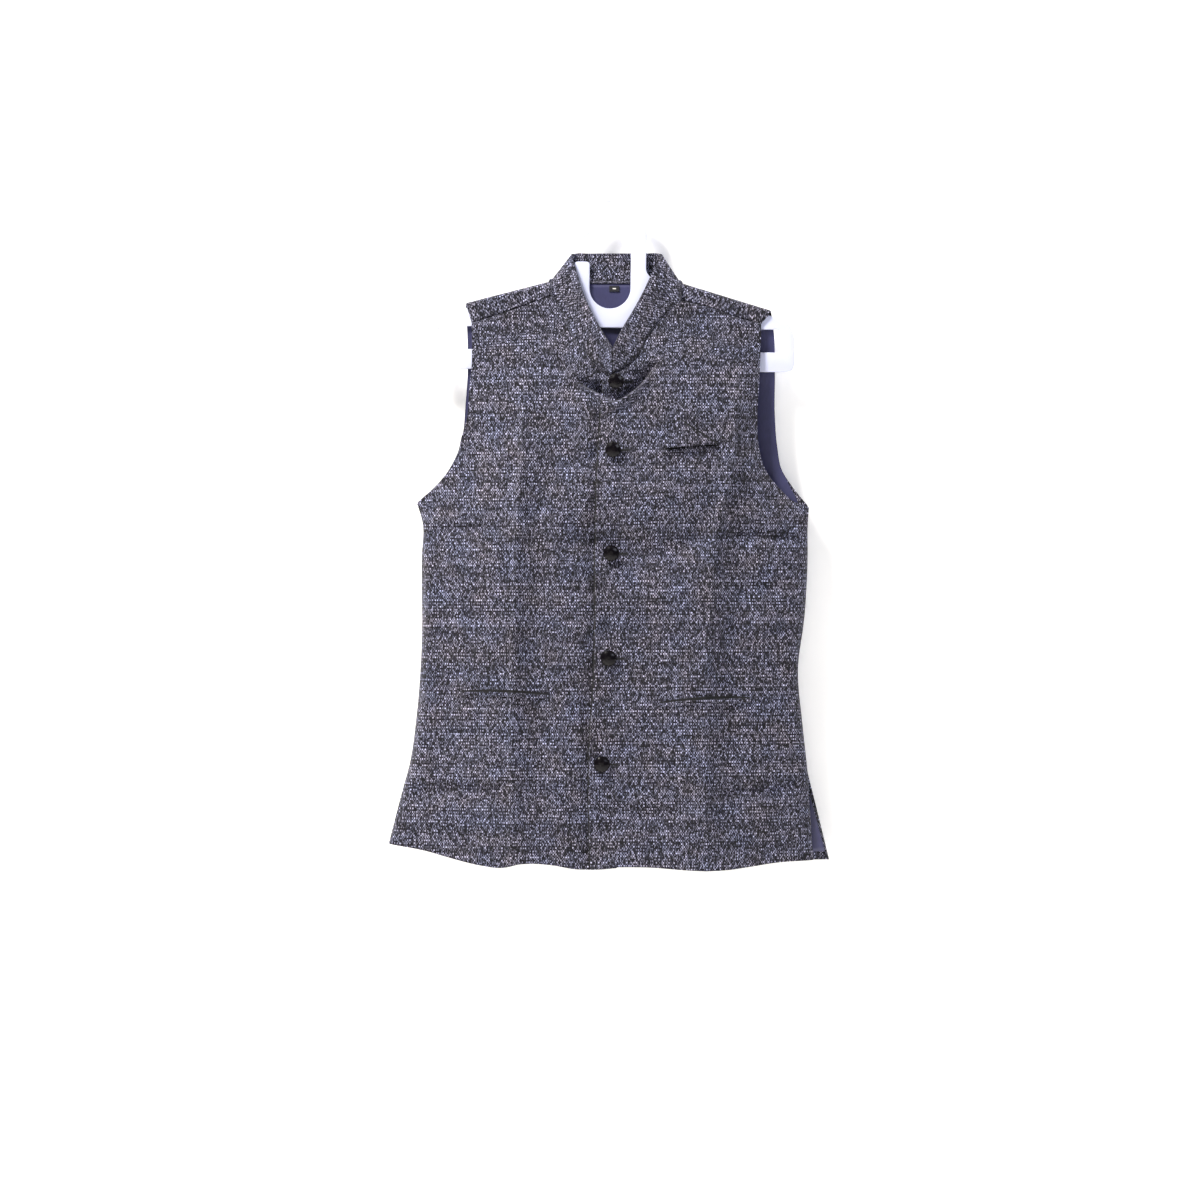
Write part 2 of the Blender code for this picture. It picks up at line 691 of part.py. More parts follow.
def on_front(name, places, finish, wall):
    """A piece that lies on a front: its outer face follows the front's, moved out."""
    sheet = [[to_world(x, front_y(x, drop) - PROUD - wall, drop) for x, drop in row] for row in places]
    return cloth(name, sheet, finish, wall)


def jet(name, opening, height, finish):
    """Strip that edges a pocket's opening from below."""
    rows = []
    for below in (0.0, height):
        row = []
        for share in np.linspace(0, 1, 11):
            x = opening.x0 + share * (opening.x1 - opening.x0)
            drop = opening.drop0 + share * (opening.drop1 - opening.drop0)
            drop += opening.sag * math.sin(math.pi * share)
            row.append((x, drop + below))
        rows.append(row)
    return on_front(name, rows, finish, JET_WALL)


def pocket_square(finish):
    """Triangle that stands up out of the breast pocket."""
    rows = []
    for down in np.linspace(0.06, 1, 5):
        left = np.array(SQUARE_TIP) * (1 - down) + np.array(SQUARE_LEFT) * down
        right = np.array(SQUARE_TIP) * (1 - down) + np.array(SQUARE_RIGHT) * down
        rows.append([tuple(left * (1 - share) + right * share) for share in np.linspace(0, 1, 6)])
    return on_front("pocket_square", rows, finish, SQUARE_WALL)


def button(name, place, finish):
    """Turned button: a low faceted dome over a flat back."""
    profile = [(0.55, 0.0), (0.92, 0.12), (1.0, 0.34), (0.93, 0.62), (0.70, 0.88), (0.36, 1.0)]
    mesh = bpy.data.meshes.new(name)
    bm = bmesh.new()
    steps = 16
    rings = []
    for radius, height in profile:
        ring = []
        for i in range(steps):
            angle = 2 * math.pi * i / steps
            across = BUTTON_RADIUS * MM * radius
            ring.append(bm.verts.new((across * math.cos(angle), -BUTTON_HEIGHT * MM * height, across * math.sin(angle))))
        rings.append(ring)
    for lower, upper in zip(rings, rings[1:]):
        for i in range(steps):
            j = (i + 1) % steps
            bm.faces.new((lower[i], lower[j], upper[j], upper[i]))
    bm.faces.new(rings[0][::-1])
    bm.faces.new(rings[-1])
    bmesh.ops.recalc_face_normals(bm, faces=bm.faces)
    bm.to_mesh(mesh)
    bm.free()
    mesh.materials.append(finish)
    mesh.shade_smooth()
    made = bpy.data.objects.new(name, mesh)
    bpy.context.scene.collection.objects.link(made)
    rim = [(BUTTON_SEAT_REACH * math.cos(a), BUTTON_SEAT_REACH * math.sin(a)) for a in np.linspace(0, 2 * math.pi, 9)]
    seat = min(front_y(place.x + dx, place.drop + dz) for dx, dz in rim + [(0.0, 0.0)])
    made.location = to_world(place.x, seat - BUTTON_CLEAR, place.drop)
    return made


def arc(cx, cz, radius, start, end):
    """Points of an arc in the plate's plane, angles in degrees from +X towards +Z."""
    angles = np.radians(np.linspace(start, end, ARC_STEPS))
    return [(cx + radius * math.cos(a), cz + radius * math.sin(a)) for a in angles]


def hanger_outline():
    """Outer outline of the plate, anticlockwise from the hook's tip: (x, z) in millimetres."""
    out = EYE_RADIUS + HOOK_BAND
    points = arc(-EYE_RADIUS - HOOK_BAND / 2, -HOOK_TIP_DROP, HOOK_BAND / 2, 180, 360)
    points += arc(0, -EYE_RADIUS, EYE_RADIUS, 180, 0)
    points += arc(0, EYE_RADIUS - EYE_BOTTOM, EYE_RADIUS, 0, -180)
    points += [(-EYE_RADIUS, -NECK_ARM_TOP), (-out, -NECK_ARM_TOP), (-out, -NECK_ARM_FOOT)]
    points += [(-NECK_FOOT_X, -NECK_FOOT_DROP), (-SHOULDER_START.x, -SHOULDER_START.drop)]
    points += hanger_end(-1)
    points += hanger_end(1)[::-1]
    points += [(SHOULDER_START.x, -SHOULDER_START.drop), (NECK_FOOT_X, -NECK_FOOT_DROP), (out, -NECK_ARM_FOOT)]
    points += arc(0, -EYE_RADIUS, out, 0, 180)
    return points


def hanger_end(side):
    """One rounded end of the plate, from the shoulder down to the bar's lower edge."""
    points = [(SHOULDER_END.x, -SHOULDER_END.drop), (BAR_END_X - 6, -146.0), (BAR_END_X, -160.0)]
    points += [(BAR_END_X, -BAR_LOW + 8), (BAR_END_X - 3, -BAR_LOW + 2), (BAR_END_X - 10, -BAR_LOW)]
    return [(side * x, z) for x, z in points]


def hanger_slot():
    """Slot between the shoulder plate and the trouser bar."""
    end = BAR_END_X - END_LINK
    return [(-end, -PLATE_LOW), (end, -PLATE_LOW), (end, -BAR_TOP), (-end, -BAR_TOP)]


def hanger(finish):
    """Flat plate: its outline and slot, filled and extruded both ways."""
    outline = bpy.data.curves.new("hanger", "CURVE")
    outline.dimensions = "2D"
    outline.fill_mode = "BOTH"
    outline.extrude = (PLATE / 2 - PLATE_BEVEL) * MM
    outline.bevel_depth = PLATE_BEVEL * MM
    outline.bevel_resolution = 1
    outline.offset = -PLATE_BEVEL * MM
    for points in (hanger_outline(), hanger_slot()):
        spline = outline.splines.new("POLY")
        spline.points.add(len(points) - 1)
        for corner, (x, z) in zip(spline.points, points):
            corner.co = (x * MM, z * MM, 0.0, 1.0)
        spline.use_cyclic_u = True
    outline.materials.append(finish)
    made = bpy.data.objects.new("hanger", outline)
    bpy.context.scene.collection.objects.link(made)
    made.rotation_euler = (math.radians(90), HANGER_TILT, 0.0)
    return made


def neck_label(finish):
    """Small woven label on the lining, under the collar seam."""
    rows = []
    for dz in (-LABEL_HEIGHT / 2, LABEL_HEIGHT / 2):
        rows.append([(LABEL_AT.x + dx, LABEL_AT.drop + dz) for dx in (-LABEL_WIDTH / 2, 0.0, LABEL_WIDTH / 2)])
    sheet = [[to_world(x, lining_y(x, drop) - PROUD - LABEL_WALL, drop) for x, drop in row] for row in rows]
    return cloth("neck_label", sheet, finish, LABEL_WALL)


def clear_scene():
    for old in list(bpy.data.objects):
        bpy.data.objects.remove(old)


def main():
    clear_scene()
    tweed = material("tweed", "605E69", 0.9)
    satin = material("lining", "3A3A52", 0.45)
    horn = material("button", "1C181C", 0.3)
    plastic = material("hanger_plastic", "EEEFF6", 0.35)
    woven = material("label", "17171B", 0.8)
    front(
        "front_right", RIGHT_ARMHOLE, RIGHT_SIDE, RIGHT_SHOULDER_SEAM, RIGHT_NECKLINE, RIGHT_HEM,
        RIGHT_CLOSING, 0.50, under_lap, tweed,
    )
    front(
        "front_left", LEFT_ARMHOLE, LEFT_SIDE, LEFT_SHOULDER_SEAM, LEFT_NECKLINE, LEFT_HEM,
        LEFT_CLOSING, 0.46, no_lap, tweed,
    )
    back(tweed)
    back_lining(satin)
    collar(tweed)
    jet("chest_welt", CHEST_OPENING, JET_HEIGHT, tweed)
    pocket_square(tweed)
    jet("pocket_jet_right", RIGHT_OPENING, JET_HEIGHT, tweed)
    jet("pocket_jet_left", LEFT_OPENING, JET_HEIGHT, tweed)
    for number, place in enumerate(BUTTONS, 1):
        button(f"button_{number}", place, horn)
    neck_label(woven)
    hanger(plastic)


main()
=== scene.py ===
"""The looks of a sleeveless nehru jacket that hangs on a flat plastic plate hanger.

Metres, +Z up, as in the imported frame: +X is the wearer's left, the front faces -Y, and the origin is the
inner top of the hook. Tables are in millimetres, with "drop" the distance below the origin and "y" the
depth of a cloth's outer face, negative towards the front. They repeat the cut that the solids have.
"""

import logging
import math
from dataclasses import dataclass, field
from enum import Enum
from functools import partial
from typing import Callable, NamedTuple, Sequence

import bmesh
import bpy
import numpy as np
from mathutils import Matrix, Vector


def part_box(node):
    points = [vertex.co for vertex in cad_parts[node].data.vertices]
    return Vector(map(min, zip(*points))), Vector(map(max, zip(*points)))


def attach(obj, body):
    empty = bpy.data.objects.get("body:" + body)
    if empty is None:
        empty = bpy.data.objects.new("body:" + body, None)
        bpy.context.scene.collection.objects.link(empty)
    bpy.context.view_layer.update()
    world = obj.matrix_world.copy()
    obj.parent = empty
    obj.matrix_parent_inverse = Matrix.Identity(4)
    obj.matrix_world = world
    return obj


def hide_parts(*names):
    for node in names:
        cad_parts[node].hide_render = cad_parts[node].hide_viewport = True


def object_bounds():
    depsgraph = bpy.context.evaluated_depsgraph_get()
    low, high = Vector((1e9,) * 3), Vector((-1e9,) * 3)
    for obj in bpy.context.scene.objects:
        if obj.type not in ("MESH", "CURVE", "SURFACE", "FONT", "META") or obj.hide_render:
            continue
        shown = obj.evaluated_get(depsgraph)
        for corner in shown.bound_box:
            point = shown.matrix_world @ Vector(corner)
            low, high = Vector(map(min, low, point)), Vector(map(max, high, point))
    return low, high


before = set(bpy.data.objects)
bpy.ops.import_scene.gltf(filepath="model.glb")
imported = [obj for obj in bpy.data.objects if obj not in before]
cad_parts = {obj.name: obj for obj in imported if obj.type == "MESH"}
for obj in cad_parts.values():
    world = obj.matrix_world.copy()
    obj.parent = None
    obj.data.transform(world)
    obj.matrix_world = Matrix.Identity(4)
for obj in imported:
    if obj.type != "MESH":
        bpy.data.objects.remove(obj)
CAD_BOX = [list(corner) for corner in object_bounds()]

MM = 0.001
BODY = "root"
UV_NAME = "cloth"
LOG = logging.getLogger("nehru_jacket")

Array = np.ndarray


# ---- rows of the tables


class Place(NamedTuple):
    """A point of the cut, seen from the front."""

    x: float
    drop: float


class EdgeRow(NamedTuple):
    """One row down an armhole or a side seam."""

    drop: float
    x: float
    y: float
    roll: float


class SectionRow(NamedTuple):
    """One row across the fronts: the two pressed-in folds and the closing."""

    drop: float
    right_x: float
    right_y: float
    centre_x: float
    centre_y: float
    left_x: float
    left_y: float


class CreaseRow(NamedTuple):
    """One crease: its two ends, the sag between them, its depth (a swell is negative) and its half width."""

    x0: float
    drop0: float
    x1: float
    drop1: float
    sag: float
    depth: float
    width: float


class BandRow(NamedTuple):
    """One station along the collar: its seam edge and its top edge."""

    low_x: float
    low_drop: float
    top_x: float
    top_drop: float
    top_y: float


class RippleRow(NamedTuple):
    """One soft ripple of the cloth: waves per metre each way, phase in turns and height in millimetres."""

    across: float
    down: float
    phase: float
    height: float


class DepthRow(NamedTuple):
    """Depth of the back down its middle."""

    drop: float
    y: float


class InsetRow(NamedTuple):
    """How far the lining stays inside the back's edges."""

    drop: float
    inset: float


class Side(Enum):
    """Which of the wearer's sides a piece is on."""

    RIGHT = -1
    LEFT = 1


def table(kind: type, *rows: Sequence[float]) -> tuple:
    """The rows of a table, each with the named columns of its kind."""
    return tuple(kind(*map(float, row)) for row in rows)


# ---- smooth runs through the tables


def smooth(t: Array) -> Array:
    """Ease from 0 to 1 with level ends."""
    t = np.clip(t, 0.0, 1.0)
    return t * t * (3 - 2 * t)


@dataclass(frozen=True)
class Run:
    """A measure that changes smoothly through the rows of a table."""

    at: tuple[float, ...]
    value: tuple[float, ...]

    def __call__(self, where: Array) -> Array:
        """Value of the measure.

        Args:
            where: Places along the run, held at its two ends.

        Returns:
            The measure at each place.
        """
        ats, values = np.array(self.at), np.array(self.value)
        slopes = np.gradient(values, ats)
        i = np.clip(np.searchsorted(ats, where) - 1, 0, len(ats) - 2)
        span = ats[i + 1] - ats[i]
        t = np.clip((where - ats[i]) / span, 0.0, 1.0)
        start = (1 + 2 * t) * (1 - t) ** 2 * values[i] + t * (1 - t) ** 2 * span * slopes[i]
        end = t * t * (3 - 2 * t) * values[i + 1] + t * t * (t - 1) * span * slopes[i + 1]
        return start + end


def run(rows: Sequence[NamedTuple], name: str, key: str = "drop") -> Run:
    """The run of one named column of a table, along its key column."""
    return Run(tuple(getattr(row, key) for row in rows), tuple(getattr(row, name) for row in rows))


@dataclass(frozen=True)
class Trail:
    """A smooth line through places of the cut."""

    places: tuple[Place, ...]

    def __call__(self, share: Array) -> Array:
        """Points along the trail.

        Args:
            share: Shares of the way along it, 0 to 1.

        Returns:
            An array of (x, drop) pairs.
        """
        points = np.array(self.places)
        reach = np.concatenate([[0.0], np.cumsum(np.hypot(*np.diff(points, axis=0).T))])
        at = np.asarray(share) * reach[-1]
        runs = [Run(tuple(reach), tuple(points[:, k]))(at) for k in (0, 1)]
        return np.stack(runs, axis=-1)


@dataclass(frozen=True)
class SeamEdge:
    """The edge of a panel: an armhole above, a side seam below."""

    armhole: tuple[EdgeRow, ...]
    side: tuple[EdgeRow, ...]

    @property
    def top(self) -> float:
        """Drop of its upper end."""
        return self.armhole[0].drop

    @property
    def low(self) -> float:
        """Drop of its lower end."""
        return self.side[-1].drop

    def measure(self, name: str, drop: Array) -> Array:
        """One named column at each drop."""
        above = run(self.armhole, name)(drop)
        below = run(self.side, name)(drop)
        return np.where(drop < self.side[0].drop, above, below)


def edge_measures(right: SeamEdge, left: SeamEdge, on_right: Array, drop: Array) -> dict[str, Array]:
    """Every column of the edge on each place's own side, at each drop."""
    names = EdgeRow._fields[1:]
    return {name: np.where(on_right, right.measure(name, drop), left.measure(name, drop)) for name in names}


# ---- the cut


FRONT_RIGHT_EDGE = SeamEdge(
    armhole=table(
        EdgeRow,
        (146, -167, -5, 0),
        (197, -167, -9, 0),
        (228, -170, -12, 0),
        (259, -172, -14, 0),
        (283, -179, -14, 0),
        (312, -187, -12, 0),
        (326, -197, -10, 0),
        (341, -210, -7, 0),
        (361, -233, -1.3, 0),
    ),
    side=table(
        EdgeRow,
        (361, -233, -1.3, 0),
        (385, -226, -0.9, 0.12),
        (424, -227, -0.9, 0.30),
        (540, -227.5, -0.9, 0.30),
        (614, -233, -0.9, 0.30),
        (672, -241, -0.9, 0.28),
        (705, -249, -1.5, 0.20),
        (770, -265, -6, 0.08),
    ),
)
FRONT_LEFT_EDGE = SeamEdge(
    armhole=table(
        EdgeRow,
        (147, 180, -5, 0),
        (206, 178, -10, 0),
        (257, 175, -15, 0),
        (296, 177, -16, 0),
        (323, 185.5, -13, 0),
        (348, 206, -8, 0),
        (361, 222.5, -4, 0),
        (366, 237.5, -1.3, 0),
    ),
    side=table(
        EdgeRow,
        (366, 237.5, -1.3, 0),
        (390, 236, -0.9, 0.12),
        (427, 236, -0.9, 0.30),
        (499, 232, -0.9, 0.30),
        (560, 224.5, -0.9, 0.30),
        (629, 230, -0.9, 0.30),
        (686, 236, -0.9, 0.26),
        (712, 237.5, -2, 0.20),
        (789, 242.5, -6, 0.08),
    ),
)
BACK_RIGHT_EDGE = SeamEdge(
    armhole=table(
        EdgeRow,
        (126.8, -174.6, 6.6, 0),
        (151, -173, 6.6, 0),
        (200, -172, 6.5, 0),
        (244, -175, 6.5, 0),
        (274, -177.5, 6, 0),
        (300, -184, 5, 0),
        (323, -196, 4, 0),
        (346, -214, 2, 0),
        (361, -233, 1.3, 0),
    ),
    side=table(
        EdgeRow,
        (361, -233, 1.3, 0),
        (385, -226, 0.9, 0.35),
        (424, -227, 0.9, 0.8),
        (540, -227.5, 0.9, 0.8),
        (614, -233, 0.9, 0.8),
        (672, -241, 0.9, 0.8),
        (705, -250, 1.5, 0.6),
        (770, -267, 4, 0.1),
    ),
)
BACK_LEFT_EDGE = SeamEdge(
    armhole=table(
        EdgeRow,
        (135.8, 193, 6.6, 0),
        (155, 195.6, 6.8, 0),
        (205, 197, 7, 0),
        (257, 197, 7, 0),
        (294, 200, 6, 0),
        (323, 206, 5, 0),
        (343, 219, 3, 0),
        (366, 237.5, 1.3, 0),
    ),
    side=table(
        EdgeRow,
        (366, 237.5, 1.3, 0),
        (390, 236, 0.9, 0.35),
        (427, 236, 0.9, 0.8),
        (499, 232, 0.9, 0.8),
        (560, 224.5, 0.9, 0.8),
        (629, 230, 0.9, 0.8),
        (686, 236.5, 0.9, 0.7),
        (712, 243, 1.5, 0.4),
        (789, 262, 4, 0.1),
    ),
)

SECTIONS = table(
    SectionRow,
    (112, -97, -6, 3, -8, 128, -6),
    (146, -98, -9, 3, -13, 134, -8),
    (190, -100, -18, 3, -24, 146, -17),
    (222, -101, -25, 2, -30, 148, -24),
    (262, -104, -32, 0, -36, 148, -30),
    (320, -107, -39, -2, -43, 143, -37),
    (361, -110, -42, -4, -43, 133, -41),
    (425, -112, -43, -6, -36, 121, -43),
    (480, -114, -44, -7, -37, 118, -44),
    (560, -116, -43, -9, -36, 113, -43),
    (640, -117, -42, -12, -36, 112, -42),
    (720, -118, -41, -14, -33, 113, -42),
    (800, -119, -42, -14, -34, 113, -43),
)

# The packing creases and the sags between the buttons.
CREASES = table(
    CreaseRow,
    (-236, 397, -112, 391, 0, 3.4, 6),
    (128, 397, 240, 407, 0, 3.4, 6),
    (-255, 706, -112, 699, 0, 3, 6.5),
    (110, 710, 245, 697, 0, 3.4, 6.5),
    (-62, 390, 132, 390, 34, 5.5, 17),
    (-70, 345, 120, 338, 14, -4, 26),
    (-30, 505, 60, 503, 8, 3.5, 11),
    (-34, 716, 108, 716, 20, 4.5, 11),
)
# Long soft bands down the fronts, which only the shells carry.
HANGING_CREASES = table(
    CreaseRow,
    (-84, 270, -90, 806, 0, 7.5, 19),
    (-140, 330, -146, 800, 3, -1.2, 14),
    (-52, 420, -60, 800, -4, -1.6, 15),
    (156, 300, 138, 806, 0, 7.5, 19),
    (104, 430, 92, 800, 3, -1.4, 13),
    (52, 560, 40, 800, 2, 1.5, 16),
    (196, 430, 190, 800, 4, 1.4, 15),
    (-196, 430, -204, 800, -4, 1.2, 16),
)
# Smaller drags and dents of the fronts, which only the shells carry too.
FINE_CREASES = table(
    CreaseRow,
    (-62, 214, 0, 240, 4, 2.2, 4),
    (14, 212, 62, 194, 2, 2.4, 4),
    (44, 150, 150, 205, 6, -1.6, 10),
    (-150, 178, -40, 205, 6, 1.6, 12),
    (20, 300, 60, 345, 4, 1.8, 9),
    (-60, 318, -4, 300, 3, 1.8, 9),
    (-100, 452, -30, 470, 6, 1.5, 11),
    (20, 560, 112, 546, 9, 1.8, 12),
    (-108, 610, -24, 628, 8, 1.6, 12),
    (-12, 652, 100, 640, 9, 1.6, 12),
    (-180, 470, -124, 500, 5, 1.4, 10),
    (140, 470, 226, 452, 6, 1.6, 10),
    (150, 548, 222, 566, 5, 1.6, 9),
    (-232, 640, -150, 655, 6, 1.5, 11),
    (-184, 688, -122, 692, 2, -1.3, 5),
    (-250, 752, -150, 764, 5, 1.6, 9),
    (-60, 764, -28, 790, 3, 1.8, 7),
    (40, 770, 150, 776, 4, 1.4, 9),
    (-30, 760, 16, 742, 3, 1.6, 8),
)
BACK_CREASES = table(
    CreaseRow,
    (-236, 398, 236, 404, 2, -2.4, 6.5),
    (-250, 704, 240, 702, 2, -2.4, 6.5),
    (-150, 180, 150, 176, 20, -1.6, 16),
    (-120, 300, 40, 330, 8, 1.4, 14),
    (20, 480, 180, 460, 8, -1.6, 13),
    (-190, 560, -30, 590, 10, 1.6, 14),
    (-40, 640, 150, 630, 8, -1.4, 13),
)
LINING_CREASES = table(
    CreaseRow,
    (-50, 104, 60, 105, 9, -1.3, 2.6),
    (-30, 150, 40, 162, 4, -0.8, 6),
    (176, 215, 199, 190, 0, -0.8, 5),
)
RIPPLES = table(
    RippleRow,
    (7, 11, 0.10, 0.35),
    (-12, 17, 0.37, 0.28),
    (19, 9, 0.62, 0.22),
    (5, 29, 0.81, 0.26),
    (-27, 23, 0.24, 0.16),
    (33, 37, 0.55, 0.12),
)

TUCK_LIP = table(
    Place,
    (-48, 216), (-35, 222), (-6, 237), (1, 241), (19, 233), (36, 220), (56, 196),
)

RIGHT_SHOULDER_SEAM = table(Place, (-167, 146), (-134, 135.5), (-103, 125), (-71, 113))
LEFT_SHOULDER_SEAM = table(Place, (180, 147), (155, 140.5), (121, 128), (84, 119))
RIGHT_NECKLINE = table(
    Place,
    (-71, 113), (-59, 137), (-43, 168.5), (-18, 197), (-1, 210), (18, 214),
)
LEFT_NECKLINE = table(
    Place,
    (84, 119), (60, 142), (44, 165), (29, 192), (4, 208.5), (-10, 213),
)
RIGHT_CLOSING = table(Place, (18, 214), (18, 300), (15, 420), (9, 640), (7, 797))
LEFT_CLOSING = table(
    Place,
    (-10, 213), (-12, 251), (-17, 334), (-19, 421), (-20, 558), (-26, 655), (-25, 796),
)
RIGHT_HEM = table(
    Place,
    (-265, 770), (-219, 778), (-189, 786), (-158, 793), (-129, 796), (-110, 792), (-70, 793), (-48, 797),
    (-23, 799), (7, 797),
)
LEFT_HEM = table(
    Place,
    (-25, 796), (51, 796), (94, 799), (137, 799), (166, 795.5), (195, 791.5), (242.5, 789),
)
BACK_HEM = table(Place, (-267, 770), (-200, 780), (0, 788), (200, 790), (262, 789))
RIGHT_RIDGE = table(Place, (-174.6, 121), (-73, 95))
LEFT_RIDGE = table(Place, (84, 97), (193, 130))
BACK_DEPTHS = table(
    DepthRow,
    (97, 6.6), (150, 7.5), (250, 10.5), (361, 12.5), (500, 13), (640, 12), (790, 11),
)
LINING_INSETS = table(
    InsetRow,
    (120, 1.2), (330, 1.5), (352, 6), (380, 18), (690, 18), (716, 4), (790, 2),
)

RIGHT_BAND = table(
    BandRow,
    (0.7, 209.3, 1.5, 176.5, -29),
    (-17.5, 196.2, -12, 154, -23),
    (-42.2, 167.8, -25, 130, -17.5),
    (-58.2, 136.4, -35, 106, -13),
    (-70, 112.4, -41, 86, -9),
    (-71.2, 101, -45.5, 71, -6),
)
LEFT_BAND = table(
    BandRow,
    (82.8, 103, 58, 71, -6),
    (82.6, 118.3, 49.5, 86, -9),
    (59.2, 141.2, 38, 110, -13),
    (43.2, 164.2, 26, 132, -17.5),
    (28.2, 191, 13, 154, -23),
    (2.7, 207.6, 2.6, 177, -29.5),
)
RIGHT_TURN = BandRow(-72.0, 94.2, -48.0, 63.0, 0.0)
LEFT_TURN = BandRow(83.0, 96.2, 61.5, 63.0, 0.0)

BUTTON_PLACES = table(Place, (6, 217), (2.4, 299), (0, 422), (-3, 547), (-11, 673))


@dataclass(frozen=True)
class JacketForm:
    """The shape that the hung cloth has: depth of each face at any place of the cut."""

    cloth_wall: float = 2.0
    lining_wall: float = 1.0
    lining_gap: float = 0.8
    side_return: float = 0.11
    fold_edge: float = 2.4
    fold_edge_width: float = 4.0
    main_gain: float = 1.5
    fine_gain: float = 1.9
    tuck_recess: float = 16.0
    tuck_lip: float = 5.0
    tuck_reach: float = 21.0
    tuck_step: float = 3.2
    tuck_fade_right: float = 26.0
    tuck_fade_left: float = 22.0
    tuck_lip_below: float = 4.0
    tuck_lip_width: float = 6.5
    crease_fade: float = 0.22
    panel_ease: float = 0.25
    pressed_start: float = 190.0
    pressed_reach: float = 90.0
    back_level: float = 0.45
    back_ease: float = 0.3
    back_ripple: float = 0.7

    def creases(self, rows: Sequence[CreaseRow], x: Array, drop: Array) -> Array:
        """How far the creases of a table move the cloth towards the back.

        Args:
            rows: The creases.
            x: Places across, in millimetres.
            drop: Places down, in millimetres.

        Returns:
            The depth, in millimetres.
        """
        total = np.zeros_like(x)
        for row in rows:
            run_x, run_drop = row.x1 - row.x0, row.drop1 - row.drop0
            length = math.hypot(run_x, run_drop)
            share = ((x - row.x0) * run_x + (drop - row.drop0) * run_drop) / length**2
            away = ((drop - row.drop0) * run_x - (x - row.x0) * run_drop) / length
            away = away - row.sag * np.sin(np.pi * np.clip(share, 0.0, 1.0))
            fade = smooth(np.minimum(share, 1 - share) / self.crease_fade)
            total += row.depth * fade * np.exp(-((away / row.width) ** 2))
        return total

    def ripples(self, x: Array, drop: Array, scale: float = 1.0) -> Array:
        """Soft unevenness of the hung cloth.

        Args:
            x: Places across, in millimetres.
            drop: Places down, in millimetres.
            scale: Share of the full height.

        Returns:
            How far it moves the cloth, in millimetres.
        """
        total = np.zeros_like(x)
        for row in RIPPLES:
            turns = row.across * x * MM + row.down * drop * MM + row.phase
            total += row.height * np.sin(2 * np.pi * turns)
        return total * scale

    def tuck(self, x: Array, drop: Array) -> Array:
        """The recess above the lip under the top button, and the lip itself.

        Args:
            x: Places across, in millimetres.
            drop: Places down, in millimetres.

        Returns:
            The depth, in millimetres, towards the back.
        """
        xs = np.array([place.x for place in TUCK_LIP])
        below = drop - run(TUCK_LIP, "drop", "x")(x)
        fade = smooth((x - xs[0]) / self.tuck_fade_right) * smooth((xs[-1] - x) / self.tuck_fade_left)
        recess = self.tuck_recess * smooth(1 + below / self.tuck_reach)
        recess *= 1 - smooth(below / self.tuck_step + 0.5)
        lip = self.tuck_lip * np.exp(-(((below - self.tuck_lip_below) / self.tuck_lip_width) ** 2))
        return fade * (recess - lip)

    def side_profile(self, share: Array, roll: Array) -> Array:
        """Rise of a side panel from its seam (0) to the pressed fold (1): rounded at first, then plain."""
        turned = np.sqrt(1 - (1 - np.minimum(share / self.side_return, 1.0)) ** 2)
        return (1 - roll) * share + roll * turned

    def front(self, x: Array, drop: Array) -> Array:
        """Depth of the fronts' outer face.

        Args:
            x: Places across, in millimetres.
            drop: Places down, in millimetres.

        Returns:
            The depth, in millimetres, negative towards the front.
        """
        cut = {name: run(SECTIONS, name)(drop) for name in SectionRow._fields[1:]}
        right = x < cut["centre_x"]
        fold_x = np.where(right, cut["right_x"], cut["left_x"])
        fold_y = np.where(right, cut["right_y"], cut["left_y"])
        edge = edge_measures(FRONT_RIGHT_EDGE, FRONT_LEFT_EDGE, right, drop)
        inner = (x - cut["centre_x"]) / (fold_x - cut["centre_x"])
        share = np.clip((x - edge["x"]) / (fold_x - edge["x"]), 0.0, 1.0)
        middle = cut["centre_y"] + (fold_y - cut["centre_y"]) * smooth(inner)
        outside = edge["y"] + (fold_y - edge["y"]) * self.side_profile(share, edge["roll"])
        fade = np.where(inner < 1, 1.0, smooth(share / self.panel_ease))
        folds = self.main_gain * self.creases(CREASES, x, drop)
        folds += self.fine_gain * self.creases(FINE_CREASES, x, drop)
        folds += self.creases(HANGING_CREASES, x, drop)
        folds += self.tuck(x, drop) + self.ripples(x, drop)
        pressed = self.fold_edge * np.exp(-(((x - fold_x) / self.fold_edge_width) ** 2))
        pressed *= smooth((drop - self.pressed_start) / self.pressed_reach)
        return np.where(inner < 1, middle, outside) + folds * fade - pressed

    def back(self, x: Array, drop: Array, creased: bool = True) -> Array:
        """Depth of the back's outer face.

        Args:
            x: Places across, in millimetres.
            drop: Places down, in millimetres.
            creased: Whether it has its creases and ripples.

        Returns:
            The depth, in millimetres.
        """
        edge = edge_measures(BACK_RIGHT_EDGE, BACK_LEFT_EDGE, x < 0, drop)
        middle = run(BACK_DEPTHS, "y")(drop)
        share = np.clip((x - edge["x"]) / (-self.back_level * edge["x"]), 0.0, 1.0)
        y = edge["y"] + (middle - edge["y"]) * self.side_profile(share, edge["roll"])
        if creased:
            folds = self.creases(BACK_CREASES, x, drop) + self.ripples(x, drop, self.back_ripple)
            y = y + smooth(share / self.back_ease) * folds
        return y

    def lining(self, x: Array, drop: Array) -> Array:
        """Depth of the lining's front face, in millimetres."""
        plain = self.back(x, drop, creased=False) - self.cloth_wall - self.lining_gap - self.lining_wall
        return plain + self.creases(LINING_CREASES, x, drop)


FORM = JacketForm()


